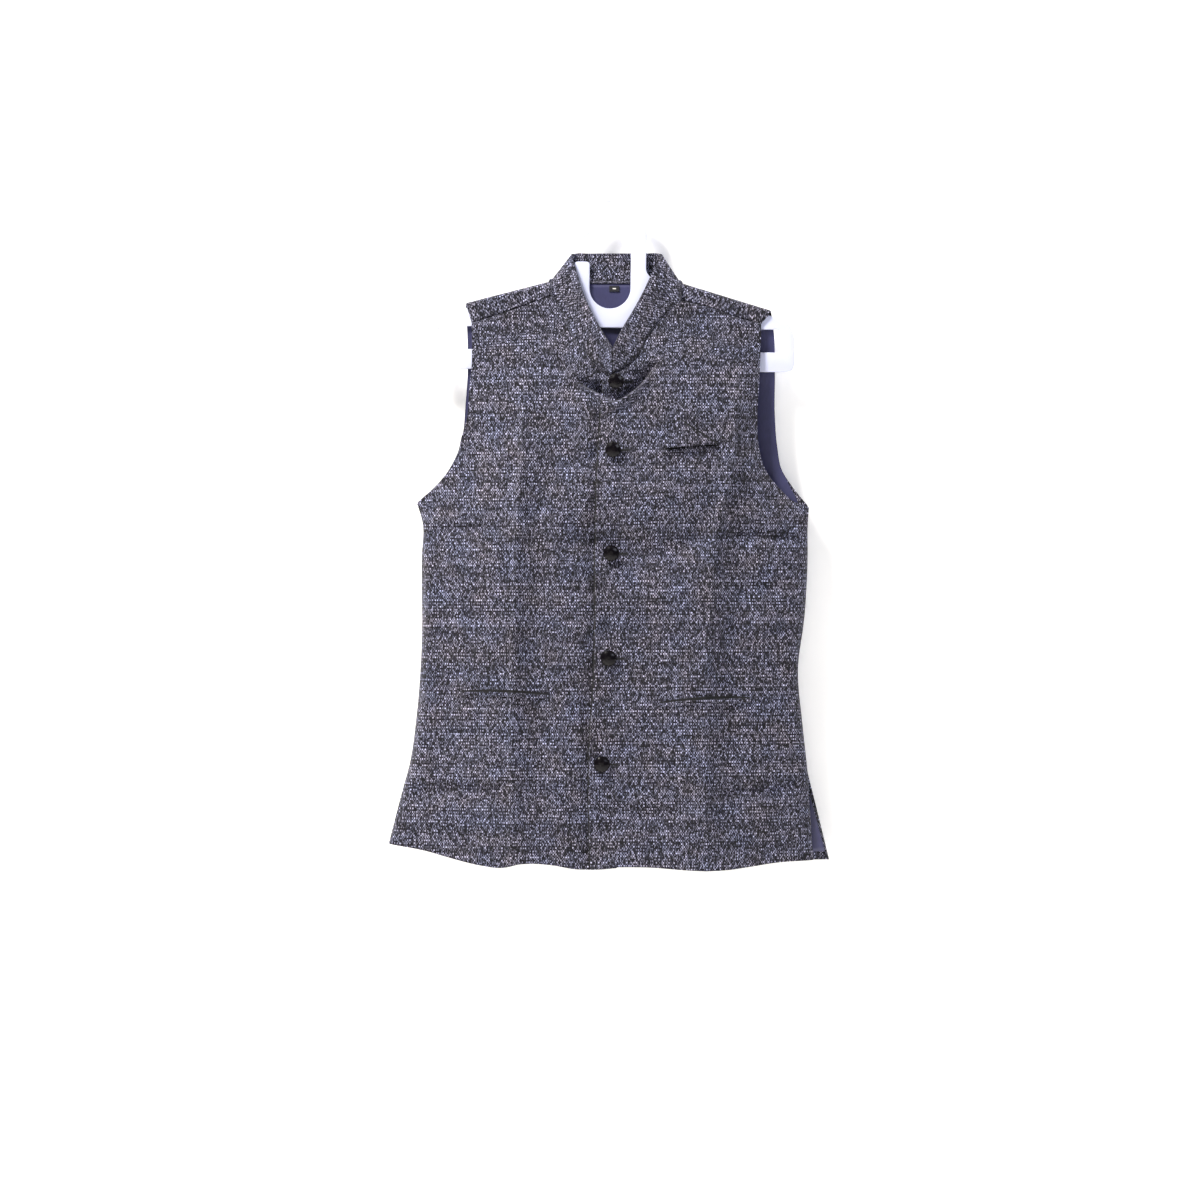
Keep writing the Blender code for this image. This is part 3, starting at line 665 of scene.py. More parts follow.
def coons(
    top: Callable[[Array], Array],
    low: Callable[[Array], Array],
    first: Callable[[Array], Array],
    last: Callable[[Array], Array],
    across: Array,
    down: Array,
) -> Array:
    """Places of a patch between four edges.

    Args:
        top: Upper edge, along the shares across.
        low: Lower edge, along the shares across.
        first: Edge at share 0, along the shares down.
        last: Edge at share 1, along the shares down.
        across: Shares across, one for each column.
        down: Shares down, one for each row.

    Returns:
        An array of (x, drop), row by row.
    """
    u, v = across[None, :, None], down[:, None, None]
    ends = np.array([0.0, 1.0])
    (p00, p01), (p10, p11) = first(ends), last(ends)
    corners = (1 - u) * (1 - v) * p00 + u * (1 - v) * p10 + (1 - u) * v * p01 + u * v * p11
    ruled = (1 - v) * top(across)[None] + v * low(across)[None]
    ruled = ruled + (1 - u) * first(down)[:, None] + u * last(down)[:, None]
    return ruled - corners


def to_world(x: Array, y: Array, drop: Array) -> Array:
    """Points in metres from millimetres across, deep and down."""
    return np.stack([x * MM, y * MM, -drop * MM], axis=-1)


def panel_shares(count: int, turn: float, both: bool) -> Array:
    """Shares of the columns across a panel, close together where it turns into its side seams.

    Args:
        count: Number of columns on the plain stretch.
        turn: Share that the turn takes.
        both: Whether the far edge turns too.

    Returns:
        The shares, from 0 to 1.
    """
    roll = turn * (1 - np.cos(np.linspace(0, np.pi / 2, 12)[:-1]))
    flat = np.linspace(turn, 1 - turn if both else 1.0, count)
    tail = 1 - roll[::-1] if both else np.array([])
    return np.concatenate([roll, flat, tail])


# ---- nodes


Put = Callable[..., bpy.types.NodeSocket]


def linear(code: str) -> tuple[float, float, float, float]:
    """Linear colour of an sRGB hex code such as #605E69."""
    parts = [int(code[i : i + 2], 16) / 255 for i in (1, 3, 5)]
    turned = [((c + 0.055) / 1.055) ** 2.4 if c > 0.04045 else c / 12.92 for c in parts]
    return (*turned, 1.0)


def feed(node: bpy.types.Node, sources: dict) -> None:
    """Link or set inputs of a node.

    Args:
        node: The node.
        sources: For each input, by name or number, a socket to link, a value, or a colour's hex code.
    """
    for key, source in sources.items():
        if isinstance(source, bpy.types.NodeSocket):
            node.id_data.links.new(source, node.inputs[key])
        elif isinstance(source, str) and source.startswith("#"):
            node.inputs[key].default_value = linear(source)
        else:
            node.inputs[key].default_value = source


def add_node(
    tree: bpy.types.NodeTree, kind: str, sources: dict | None = None, output: int | str = 0,
    **settings: object
) -> bpy.types.NodeSocket | None:
    """Add one node to a tree and give one of its outputs.

    Args:
        tree: The tree.
        kind: The node's type name.
        sources: For each input, by name or number, a socket to link or a value to set.
        output: The output wanted, by name or number.
        settings: Properties of the node.

    Returns:
        That output, or nothing from a node that has none.
    """
    node = tree.nodes.new(kind)
    for name, value in settings.items():
        setattr(node, name, value)
    feed(node, sources or {})
    return node.outputs[output] if len(node.outputs) else None


# ---- finishes


@dataclass(frozen=True)
class Coating:
    """What every finish has: a name, and what it feeds to the Principled shader."""

    name: str

    def inputs(self, put: Put) -> dict[str, object]:
        """Values or sockets for the shader's inputs; put adds a node to the material's tree."""
        raise NotImplementedError

    def material(self) -> bpy.types.Material:
        """The finish as a material."""
        made = bpy.data.materials.new(self.name)
        made.use_nodes = True
        feed(made.node_tree.nodes["Principled BSDF"], self.inputs(partial(add_node, made.node_tree)))
        return made


@dataclass(frozen=True)
class SlubTweed(Coating):
    """Plain weave of slubbed yarns, dark warp and pale weft: matt, with pale dashes in rows and dark streaks.

    The flecks lie about 1.5 and 1.9 mm apart, each a float of the pale weft drawn as a short dash across. The
    real yarns may be finer than that, but single ones would not show from a few metres.
    """

    name: str = "tweed_slub_plain_weave"
    warp_pitch: float = 1.5
    weft_pitch: float = 1.9
    warp_dark: str = "#020204"
    warp_pale: str = "#1E1F33"
    weft_dark: str = "#0C0B12"
    weft_pale: str = "#D4D3EE"
    dash_width: float = 0.78
    dash_height: float = 0.55
    weft_slub: float = 1.3
    warp_slub: float = 5.0
    slub_gain: float = 6.43
    own_gain: float = 0.3
    level: float = 0.21
    power: float = 1.4
    row_share: float = 0.45
    wander: float = 0.8
    bump: float = 0.35
    roughness: float = 0.92
    dash_start: float = 1.15
    dash_full: float = 0.7
    drift_scale: float = 90.0
    tint_scale: float = 30.0
    yarn_step: float = 7.31
    warm: tuple[float, float, float, float] = (1.03, 0.96, 0.93, 1.0)
    cool: tuple[float, float, float, float] = (0.92, 0.97, 1.10, 1.0)

    def thread(
        self, put: Put, number: bpy.types.NodeSocket, along: bpy.types.NodeSocket, slub_length: float,
        seed: float
    ) -> bpy.types.NodeSocket:
        """Paleness of one yarn: its own tone, and its slubs.

        Args:
            put: Adds a node.
            number: Number of the yarn.
            along: Place along it, in crossings.
            slub_length: Length of a slub, in crossings.
            seed: Sets one set of yarns apart from another.

        Returns:
            The paleness, 0 to 1.
        """
        row = put("ShaderNodeMath", {0: number, 1: self.yarn_step}, operation="MULTIPLY")
        length = put("ShaderNodeMath", {0: along, 1: slub_length}, operation="DIVIDE")
        place = put("ShaderNodeCombineXYZ", {0: row, 1: length, 2: seed})
        slub = put("ShaderNodeTexNoise", {"Vector": place, "Scale": 1.0, "Detail": 2.0, "Roughness": 0.75})
        own = put("ShaderNodeMath", {0: number, 1: seed}, operation="ADD")
        own = put("ShaderNodeTexWhiteNoise", {"W": own}, noise_dimensions="1D")
        start = self.level - 0.5 * (self.slub_gain + self.own_gain)
        tone = put("ShaderNodeMath", {0: slub, 1: self.slub_gain, 2: start}, operation="MULTIPLY_ADD")
        mixed = {0: own, 1: self.own_gain, 2: tone}
        tone = put("ShaderNodeMath", mixed, operation="MULTIPLY_ADD", use_clamp=True)
        return put("ShaderNodeMath", {0: tone, 1: self.power}, operation="POWER")

    def inputs(self, put: Put) -> dict[str, object]:
        """Values or sockets for the shader's inputs, from the cloth's own UV map in metres."""
        uv = put("ShaderNodeUVMap", uv_map=UV_NAME)
        drift = put("ShaderNodeTexNoise", {"Vector": uv, "Scale": self.drift_scale, "Detail": 2.0}, "Color")
        drift = put("ShaderNodeVectorMath", {0: drift, 1: (0.5, 0.5, 0.5)}, operation="SUBTRACT")
        count = (1 / (self.warp_pitch * MM), 1 / (self.weft_pitch * MM), 0.0)
        place = put("ShaderNodeVectorMath", {0: uv, 1: count}, operation="MULTIPLY")
        sway = {0: drift, 1: (self.wander, self.wander, 0.0), 2: place}
        place = put("ShaderNodeVectorMath", sway, operation="MULTIPLY_ADD")
        at = put("ShaderNodeSeparateXYZ", {0: place}).node.outputs
        number = put("ShaderNodeVectorMath", {0: place}, operation="FLOOR")
        number = put("ShaderNodeSeparateXYZ", {0: number}).node.outputs
        inside = put("ShaderNodeVectorMath", {0: place}, operation="FRACTION")
        round_over = put("ShaderNodeVectorMath", {0: inside, 1: (math.pi,) * 3}, operation="MULTIPLY")
        round_over = put("ShaderNodeVectorMath", {0: round_over}, operation="SINE")
        round_over = put("ShaderNodeSeparateXYZ", {0: round_over}).node.outputs
        off = put("ShaderNodeVectorMath", {0: inside, 1: (0.5, 0.5, 0.5)}, operation="SUBTRACT")
        off = put("ShaderNodeVectorMath", {0: off}, operation="ABSOLUTE")
        off = put("ShaderNodeSeparateXYZ", {0: off}).node.outputs
        crossing = put("ShaderNodeMath", {0: number[0], 1: number[1]}, operation="ADD")
        over = put("ShaderNodeMath", {0: crossing, 1: 2.0}, operation="FLOORED_MODULO")
        beside = put("ShaderNodeMath", {0: 1.0, 1: off[0]}, operation="SUBTRACT")
        away = put("ShaderNodeMix", {0: over, 2: beside, 3: off[0]}, data_type="FLOAT")
        away = put("ShaderNodeCombineXYZ", {0: away, 1: off[1]})
        size = (1 / self.dash_width, 1 / self.dash_height, 0.0)
        away = put("ShaderNodeVectorMath", {0: away, 1: size}, operation="MULTIPLY")
        away = put("ShaderNodeVectorMath", {0: away}, "Value", operation="LENGTH")
        reach = {"Value": away, "From Min": self.dash_start, "From Max": self.dash_full}
        dash = put("ShaderNodeMapRange", reach, interpolation_type="SMOOTHSTEP")
        warp = self.thread(put, number[0], at[1], self.warp_slub, 3.0)
        weft = self.thread(put, number[1], at[0], self.weft_slub, 41.0)
        second = put("ShaderNodeMath", {0: number[1], 1: 2.0}, operation="FLOORED_MODULO")
        faded = put("ShaderNodeMath", {0: second, 1: -self.row_share, 2: 1.0}, operation="MULTIPLY_ADD")
        weft = put("ShaderNodeMath", {0: weft, 1: faded}, operation="MULTIPLY")
        warp = put("ShaderNodeMix", {0: warp, 6: self.warp_dark, 7: self.warp_pale}, 2, data_type="RGBA")
        weft = put("ShaderNodeMix", {0: weft, 6: self.weft_dark, 7: self.weft_pale}, 2, data_type="RGBA")
        colour = put("ShaderNodeMix", {0: dash, 6: warp, 7: weft}, 2, data_type="RGBA")
        patchy = put("ShaderNodeTexNoise", {"Vector": uv, "Scale": self.tint_scale, "Detail": 3.0})
        patchy = put("ShaderNodeMath", {0: patchy, 1: 3.0, 2: -1.0}, operation="MULTIPLY_ADD", use_clamp=True)
        tint = put("ShaderNodeMix", {0: patchy, 6: self.warm, 7: self.cool}, 2, data_type="RGBA")
        colour = put(
            "ShaderNodeMix", {0: 1.0, 6: colour, 7: tint}, 2, data_type="RGBA", blend_type="MULTIPLY"
        )
        proud = put("ShaderNodeMath", {0: round_over[1], 1: 0.4}, operation="ADD")
        height = put("ShaderNodeMix", {0: dash, 2: round_over[0], 3: proud}, data_type="FLOAT")
        lift = put("ShaderNodeBump", {"Height": height, "Distance": self.bump * MM, "Strength": 0.8})
        return {
            "Base Color": colour,
            "Normal": lift,
            "Roughness": self.roughness,
            "Specular IOR Level": 0.2,
            "Sheen Weight": 0.1,
            "Sheen Roughness": 0.6,
        }


@dataclass(frozen=True)
class SatinLining(Coating):
    """Dark navy satin of fine filament yarns: smooth, with a soft broken sheen and a faint grain.

    The real yarns are 0.2 mm apart; the grain is drawn at 0.9 mm, the finest that shows.
    """

    name: str = "lining_satin_woven"
    dark: str = "#26263C"
    pale: str = "#3B3B64"
    grain: float = 0.9
    roughness: float = 0.42

    def inputs(self, put: Put) -> dict[str, object]:
        """Values or sockets for the shader's inputs."""
        uv = put("ShaderNodeUVMap", uv_map=UV_NAME)
        rate = (1 / (self.grain * MM), 0.12 / (self.grain * MM), 0.0)
        fine = put("ShaderNodeVectorMath", {0: uv, 1: rate}, operation="MULTIPLY")
        grain = put("ShaderNodeTexNoise", {"Vector": fine, "Scale": 1.0, "Detail": 2.0})
        broad = put("ShaderNodeTexNoise", {"Vector": uv, "Scale": 28.0, "Detail": 3.0})
        broad = put("ShaderNodeMath", {0: broad, 1: 0.5}, operation="MULTIPLY")
        tone = put("ShaderNodeMath", {0: grain, 1: 0.7, 2: broad}, operation="MULTIPLY_ADD")
        return {
            "Base Color": put("ShaderNodeMix", {0: tone, 6: self.dark, 7: self.pale}, 2, data_type="RGBA"),
            "Normal": put("ShaderNodeBump", {"Height": grain, "Distance": 0.08 * MM, "Strength": 0.6}),
            "Roughness": self.roughness,
            "Sheen Weight": 0.15,
        }


@dataclass(frozen=True)
class CutResin(Coating):
    """Blue-black polyester resin, turned, faceted and tumbled: glossy, with brown depths and small glints."""

    name: str = "button_resin_faceted"
    dark: str = "#030305"
    brown: str = "#120E13"
    roughness: float = 0.14
    ior: float = 1.5
    specular: float = 0.22

    def inputs(self, put: Put) -> dict[str, object]:
        """Values or sockets for the shader's inputs."""
        place = put("ShaderNodeTexCoord", output="Object")
        swirl = put("ShaderNodeTexNoise", {"Vector": place, "Scale": 160.0, "Detail": 3.0, "Distortion": 1.2})
        scratch = put("ShaderNodeTexNoise", {"Vector": place, "Scale": 900.0, "Detail": 2.0})
        return {
            "Base Color": put("ShaderNodeMix", {0: swirl, 6: self.dark, 7: self.brown}, 2, data_type="RGBA"),
            "Roughness": put(
                "ShaderNodeMath", {0: scratch, 1: 0.1, 2: self.roughness}, operation="MULTIPLY_ADD"
            ),
            "IOR": self.ior,
            "Specular IOR Level": self.specular,
        }


@dataclass(frozen=True)
class MouldedPolystyrene(Coating):
    """White polystyrene, injection moulded: bright, slightly blue, with a soft gloss and faint flow marks."""

    name: str = "hanger_polystyrene_moulded"
    pale: str = "#D9DCF2"
    cool: str = "#CFD3EE"
    roughness: float = 0.32
    ior: float = 1.59

    def inputs(self, put: Put) -> dict[str, object]:
        """Values or sockets for the shader's inputs."""
        place = put("ShaderNodeTexCoord", output="Object")
        flow = put("ShaderNodeTexNoise", {"Vector": place, "Scale": 9.0, "Detail": 3.0, "Distortion": 0.8})
        peel = put("ShaderNodeTexNoise", {"Vector": place, "Scale": 420.0, "Detail": 2.0})
        return {
            "Base Color": put("ShaderNodeMix", {0: flow, 6: self.pale, 7: self.cool}, 2, data_type="RGBA"),
            "Normal": put("ShaderNodeBump", {"Height": peel, "Distance": 0.05 * MM, "Strength": 0.3}),
            "Roughness": put(
                "ShaderNodeMath", {0: peel, 1: 0.1, 2: self.roughness}, operation="MULTIPLY_ADD"
            ),
            "IOR": self.ior,
        }


@dataclass(frozen=True)
class WovenTape(Coating):
    """Taffeta label tape, its pale inlaid yarn, or near-black cloth laid as painted shade in gaps: matt,
    ribbed across at 0.5 mm.
    """

    name: str = "label_taffeta_black"
    dark: str = "#0D0D11"
    pale: str = "#24242C"
    rib: float = 0.5

    def inputs(self, put: Put) -> dict[str, object]:
        """Values or sockets for the shader's inputs."""
        place = put("ShaderNodeTexCoord", output="Object")
        turned = put("ShaderNodeMapping", {"Vector": place, "Rotation": (0.0, math.radians(90), 0.0)})
        rate = 0.31 / (self.rib * MM) / 2
        ribs = put("ShaderNodeTexWave", {"Vector": turned, "Scale": rate, "Distortion": 0.6}, 1)
        return {
            "Base Color": put("ShaderNodeMix", {0: ribs, 6: self.dark, 7: self.pale}, 2, data_type="RGBA"),
            "Normal": put("ShaderNodeBump", {"Height": ribs, "Distance": 0.1 * MM}),
            "Roughness": 0.85,
        }


@dataclass(frozen=True)
class SpunThread(Coating):
    """Spun polyester sewing thread, two-ply: matt charcoal, twisted, darker between its plies."""

    name: str = "thread_spun_polyester"
    dark: str = "#101016"
    pale: str = "#3A3944"

    def inputs(self, put: Put) -> dict[str, object]:
        """Values or sockets for the shader's inputs."""
        place = put("ShaderNodeTexCoord", output="Object")
        twist = put("ShaderNodeTexNoise", {"Vector": place, "Scale": 1400.0, "Detail": 1.0})
        colour = put("ShaderNodeMix", {0: twist, 6: self.dark, 7: self.pale}, 2, data_type="RGBA")
        return {"Base Color": colour, "Roughness": 0.8}


@dataclass(frozen=True)
class MattPaint(Coating):
    """Matt white emulsion on a rolled wall or floor: even and very pale; a wall may vanish from behind."""

    tone: str = "#F7F6F3"
    glow: float = 0.0
    see_through_back: bool = False

    def inputs(self, put: Put) -> dict[str, object]:
        """Values or sockets for the shader's inputs."""
        place = put("ShaderNodeTexCoord", output="Object")
        roller = put("ShaderNodeTexNoise", {"Vector": place, "Scale": 60.0, "Detail": 2.0})
        return {
            "Base Color": put("ShaderNodeMix", {0: roller, 6: self.tone, 7: "#FBFAF8"}, 2, data_type="RGBA"),
            "Roughness": 0.95,
            "Specular IOR Level": 0.1,
            "Emission Color": "#FFFFFF",
            "Emission Strength": self.glow,
        }

    def material(self) -> bpy.types.Material:
        """The paint as a material; a wall that is seen through from behind hides nothing."""
        made = super().material()
        if self.see_through_back:
            put = partial(add_node, made.node_tree)
            behind = put("ShaderNodeNewGeometry", output="Backfacing")
            front = made.node_tree.nodes["Principled BSDF"].outputs[0]
            mixed = put("ShaderNodeMixShader", {0: behind, 1: front, 2: put("ShaderNodeBsdfTransparent")})
            feed(made.node_tree.nodes["Material Output"], {"Surface": mixed})
        return made


class Finish(Enum):
    """The finishes of the object, each with the record's slot that it belongs to."""

    TWEED = "tweed"
    LINING = "lining"
    BUTTON = "button"
    HANGER = "hanger_plastic"
    LABEL = "label"
    MARK = "mark"
    # Near-black cloth whose colour is painted shade in slits, pocket mouths and gaps.
    POCKETING = "pocketing"
    THREAD = "thread"


@dataclass
class Finishes:
    """The materials, made once and shared by the pieces."""

    made: dict[Finish, bpy.types.Material] = field(default_factory=dict)

    def __post_init__(self) -> None:
        """Make every material."""
        self.made = {
            Finish.TWEED: SlubTweed().material(),
            Finish.LINING: SatinLining().material(),
            Finish.BUTTON: CutResin().material(),
            Finish.HANGER: MouldedPolystyrene().material(),
            Finish.LABEL: WovenTape().material(),
            Finish.MARK: WovenTape("label_taffeta_pale", "#C9C6BF", "#F0EEE8").material(),
            # Near-black painted shade: it fills the buttonhole slits, the pocket mouths and the gaps at the
            # closing and the pocket square.
            Finish.POCKETING: WovenTape("pocketing_cotton_twill", "#050507", "#111116").material(),
            Finish.THREAD: SpunThread().material(),
        }

    def __getitem__(self, finish: Finish) -> bpy.types.Material:
        """One material."""
        return self.made[finish]


# ---- meshes


def link(name: str, mesh: bpy.types.Mesh) -> bpy.types.Object:
    """A new object in the scene from a mesh."""
    made = bpy.data.objects.new(name, mesh)
    bpy.context.scene.collection.objects.link(made)
    return made


def woven_places(points: Array, start_row: int = 0) -> Array:
    """Places on the flat cloth, in metres: lengths along the surface, with level rows of weft.

    Args:
        points: Grid of points; rows run across.
        start_row: The row from which lengths down are measured.

    Returns:
        A grid of (u, v).
    """
    filled = np.where(np.isnan(points), points[start_row], points)
    across = np.linalg.norm(np.diff(filled[..., :2], axis=1), axis=2)
    u = np.concatenate([np.zeros((len(points), 1)), np.cumsum(across, axis=1)], axis=1)
    middle = u.shape[1] // 2
    sign = np.sign(filled[-1, -1, 0] - filled[-1, 0, 0])
    u = sign * (u - u[:, middle : middle + 1]) + filled[:, middle : middle + 1, 0]
    fall = np.abs(np.diff(filled[..., 2], axis=0))
    step = np.linalg.norm(np.diff(filled[..., 1:], axis=0), axis=2)
    step = fall + (step - fall).mean(axis=1, keepdims=True)
    v = np.concatenate([np.zeros((1, points.shape[1])), np.cumsum(step, axis=0)], axis=0)
    v = v - v[start_row] - filled[start_row, :, 2]
    return np.stack([u, v], axis=-1)


def sheet_object(
    name: str, points: Array, uv: Array, materials: Sequence[bpy.types.Material]
) -> bpy.types.Object:
    """Object from a grid of points; squares with a missing corner are left out.

    Args:
        name: The object's name.
        points: Grid of points in metres, NaN where there is no cloth.
        uv: Grid of places on the flat cloth.
        materials: Materials for its slots.

    Returns:
        The object, a single layer whose faces point outwards.
    """
    rows, columns = points.shape[:2]
    numbers = np.arange(rows * columns).reshape(rows, columns)
    corners = [numbers[1:, :-1], numbers[1:, 1:], numbers[:-1, 1:], numbers[:-1, :-1]]
    quads = np.stack(corners, axis=-1).reshape(-1, 4)
    flat_points = points.reshape(-1, 3)
    quads = quads[np.isfinite(flat_points).all(axis=1)[quads].all(axis=1)]
    used, packed = np.unique(quads, return_inverse=True)
    packed = packed.reshape(-1, 4)
    mesh = bpy.data.meshes.new(name)
    mesh.from_pydata(flat_points[used].tolist(), [], packed.tolist())
    layer = mesh.uv_layers.new(name=UV_NAME)
    layer.data.foreach_set("uv", uv.reshape(-1, 2)[used][packed].reshape(-1))
    for material in materials:
        mesh.materials.append(material)
    mesh.shade_smooth()
    return link(name, mesh)


def thicken(piece: bpy.types.Object, wall: float, inner_slot: int = 0) -> None:
    """Give a sheet its wall, inwards.

    Args:
        piece: The sheet.
        wall: Thickness, in millimetres.
        inner_slot: Slot of its inner face's material.
    """
    solid = piece.modifiers.new("wall", "SOLIDIFY")
    solid.thickness = wall * MM
    solid.offset = -1.0
    solid.use_even_offset = False
    solid.material_offset = inner_slot


def settle(piece: bpy.types.Object, slot: Finish, *nodes: str) -> None:
    """Make a piece ride on the body in place of its nodes, and log the slot that it belongs to.

    Args:
        piece: The piece.
        slot: The finish whose slot is named in the log.
        nodes: The solids that it stands for.
    """
    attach(piece, BODY)
    if nodes:
        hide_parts(*nodes)
    faces, solids = len(piece.data.polygons), ", ".join(nodes) or "nothing"
    LOG.info("%s: %d faces, slot %s, stands for %s", piece.name, faces, slot.value, solids)


# ---- cloth


@dataclass
class Front:
    """One front: its edges, and how many rows and columns its shell has, closer together near the neck."""

    name: str
    edge: SeamEdge
    seam: tuple[Place, ...]
    neckline: tuple[Place, ...]
    hem: tuple[Place, ...]
    closing: tuple[Place, ...]
    split: float
    flat: tuple[float, float]
    area: float
    under: bool
    columns: int = 104
    neck_rows: int = 56
    rows: int = 204
    neck_share: float = 0.11
    lap_gap: float = 2.2
    tuck_gap: float = 1.0
    tuck_end: float = 275.0
    tuck_ease: float = 20.0
    lap_start: float = 14.0
    lap_width: float = 12.0
    panel_height: float = 650.0
    panel_width: float = 230.0
    hem_turn: float = 26.0
    closing_turn: float = 16.0
    turn_swell: float = 0.45
    turn_share: float = 0.5

    def top(self, share: Array) -> Array:
        """Upper edge: shoulder seam, then neckline."""
        on_seam = Trail(self.seam)(np.clip(share / self.split, 0, 1))
        on_neck = Trail(self.neckline)(np.clip((share - self.split) / (1 - self.split), 0, 1))
        return np.where((share < self.split)[:, None], on_seam, on_neck)

    def side(self, down: Array) -> Array:
        """Armhole and side seam."""
        drop = self.edge.top + down * (self.edge.low - self.edge.top)
        return np.stack([self.edge.measure("x", drop), drop], axis=-1)

    def closing_edge(self, down: Array) -> Array:
        """Edge along the buttons."""
        drop = self.closing[0].drop + down * (self.closing[-1].drop - self.closing[0].drop)
        return np.stack([run(self.closing, "x")(drop), drop], axis=-1)

    def hem_edge(self, share: Array) -> Array:
        """Lower edge."""
        outer = self.edge.side[-1].x
        x = outer + share * (self.closing[-1].x - outer)
        return np.stack([x, run(self.hem, "drop", "x")(x)], axis=-1)

    def places(self, across: Array, down: Array) -> Array:
        """Places of the front's cut at these shares."""
        return coons(self.top, self.hem_edge, self.side, self.closing_edge, across, down)

    def lap(self, x: Array, drop: Array) -> Array:
        """How far it steps back to lie under the other front."""
        if not self.under:
            return np.zeros_like(x)
        tucked = smooth((self.tuck_end - drop) / self.tuck_ease)
        deep = FORM.cloth_wall + self.lap_gap + self.tuck_gap * tucked
        return deep * smooth((x - run(LEFT_CLOSING, "x")(drop) + self.lap_start) / self.lap_width)

    def turned_edge(self, across: Array, down: Array) -> Array:
        """Swell of the turned-in hem and closing edge."""
        near_hem = smooth(1 - (1 - down[:, None]) * self.panel_height / self.hem_turn)
        near_closing = smooth(1 - (1 - across[None, :]) * self.panel_width / self.closing_turn)
        return self.turn_swell * np.maximum(near_hem, near_closing)

    def build(self, finishes: Finishes) -> None:
        """Make the shell, dress it and put it in place."""
        across = panel_shares(self.columns, FORM.side_return * self.turn_share, False)
        near_neck = np.linspace(0, self.neck_share, self.neck_rows)
        down = np.concatenate([near_neck, np.linspace(self.neck_share, 1, self.rows)[1:]])
        cut = self.places(across, down)
        x, drop = cut[..., 0], cut[..., 1]
        y = FORM.front(x, drop) + self.lap(x, drop) - self.turned_edge(across, down)
        points = to_world(x, y, drop)
        if self.edge.side[-1].x > 0:
            points = points[:, ::-1]
        materials = [finishes[Finish.TWEED], finishes[Finish.LINING]]
        piece = sheet_object(f"{self.name}_shell", points, woven_places(points), materials)
        thicken(piece, FORM.cloth_wall, inner_slot=1)
        settle(piece, Finish.TWEED, self.name)


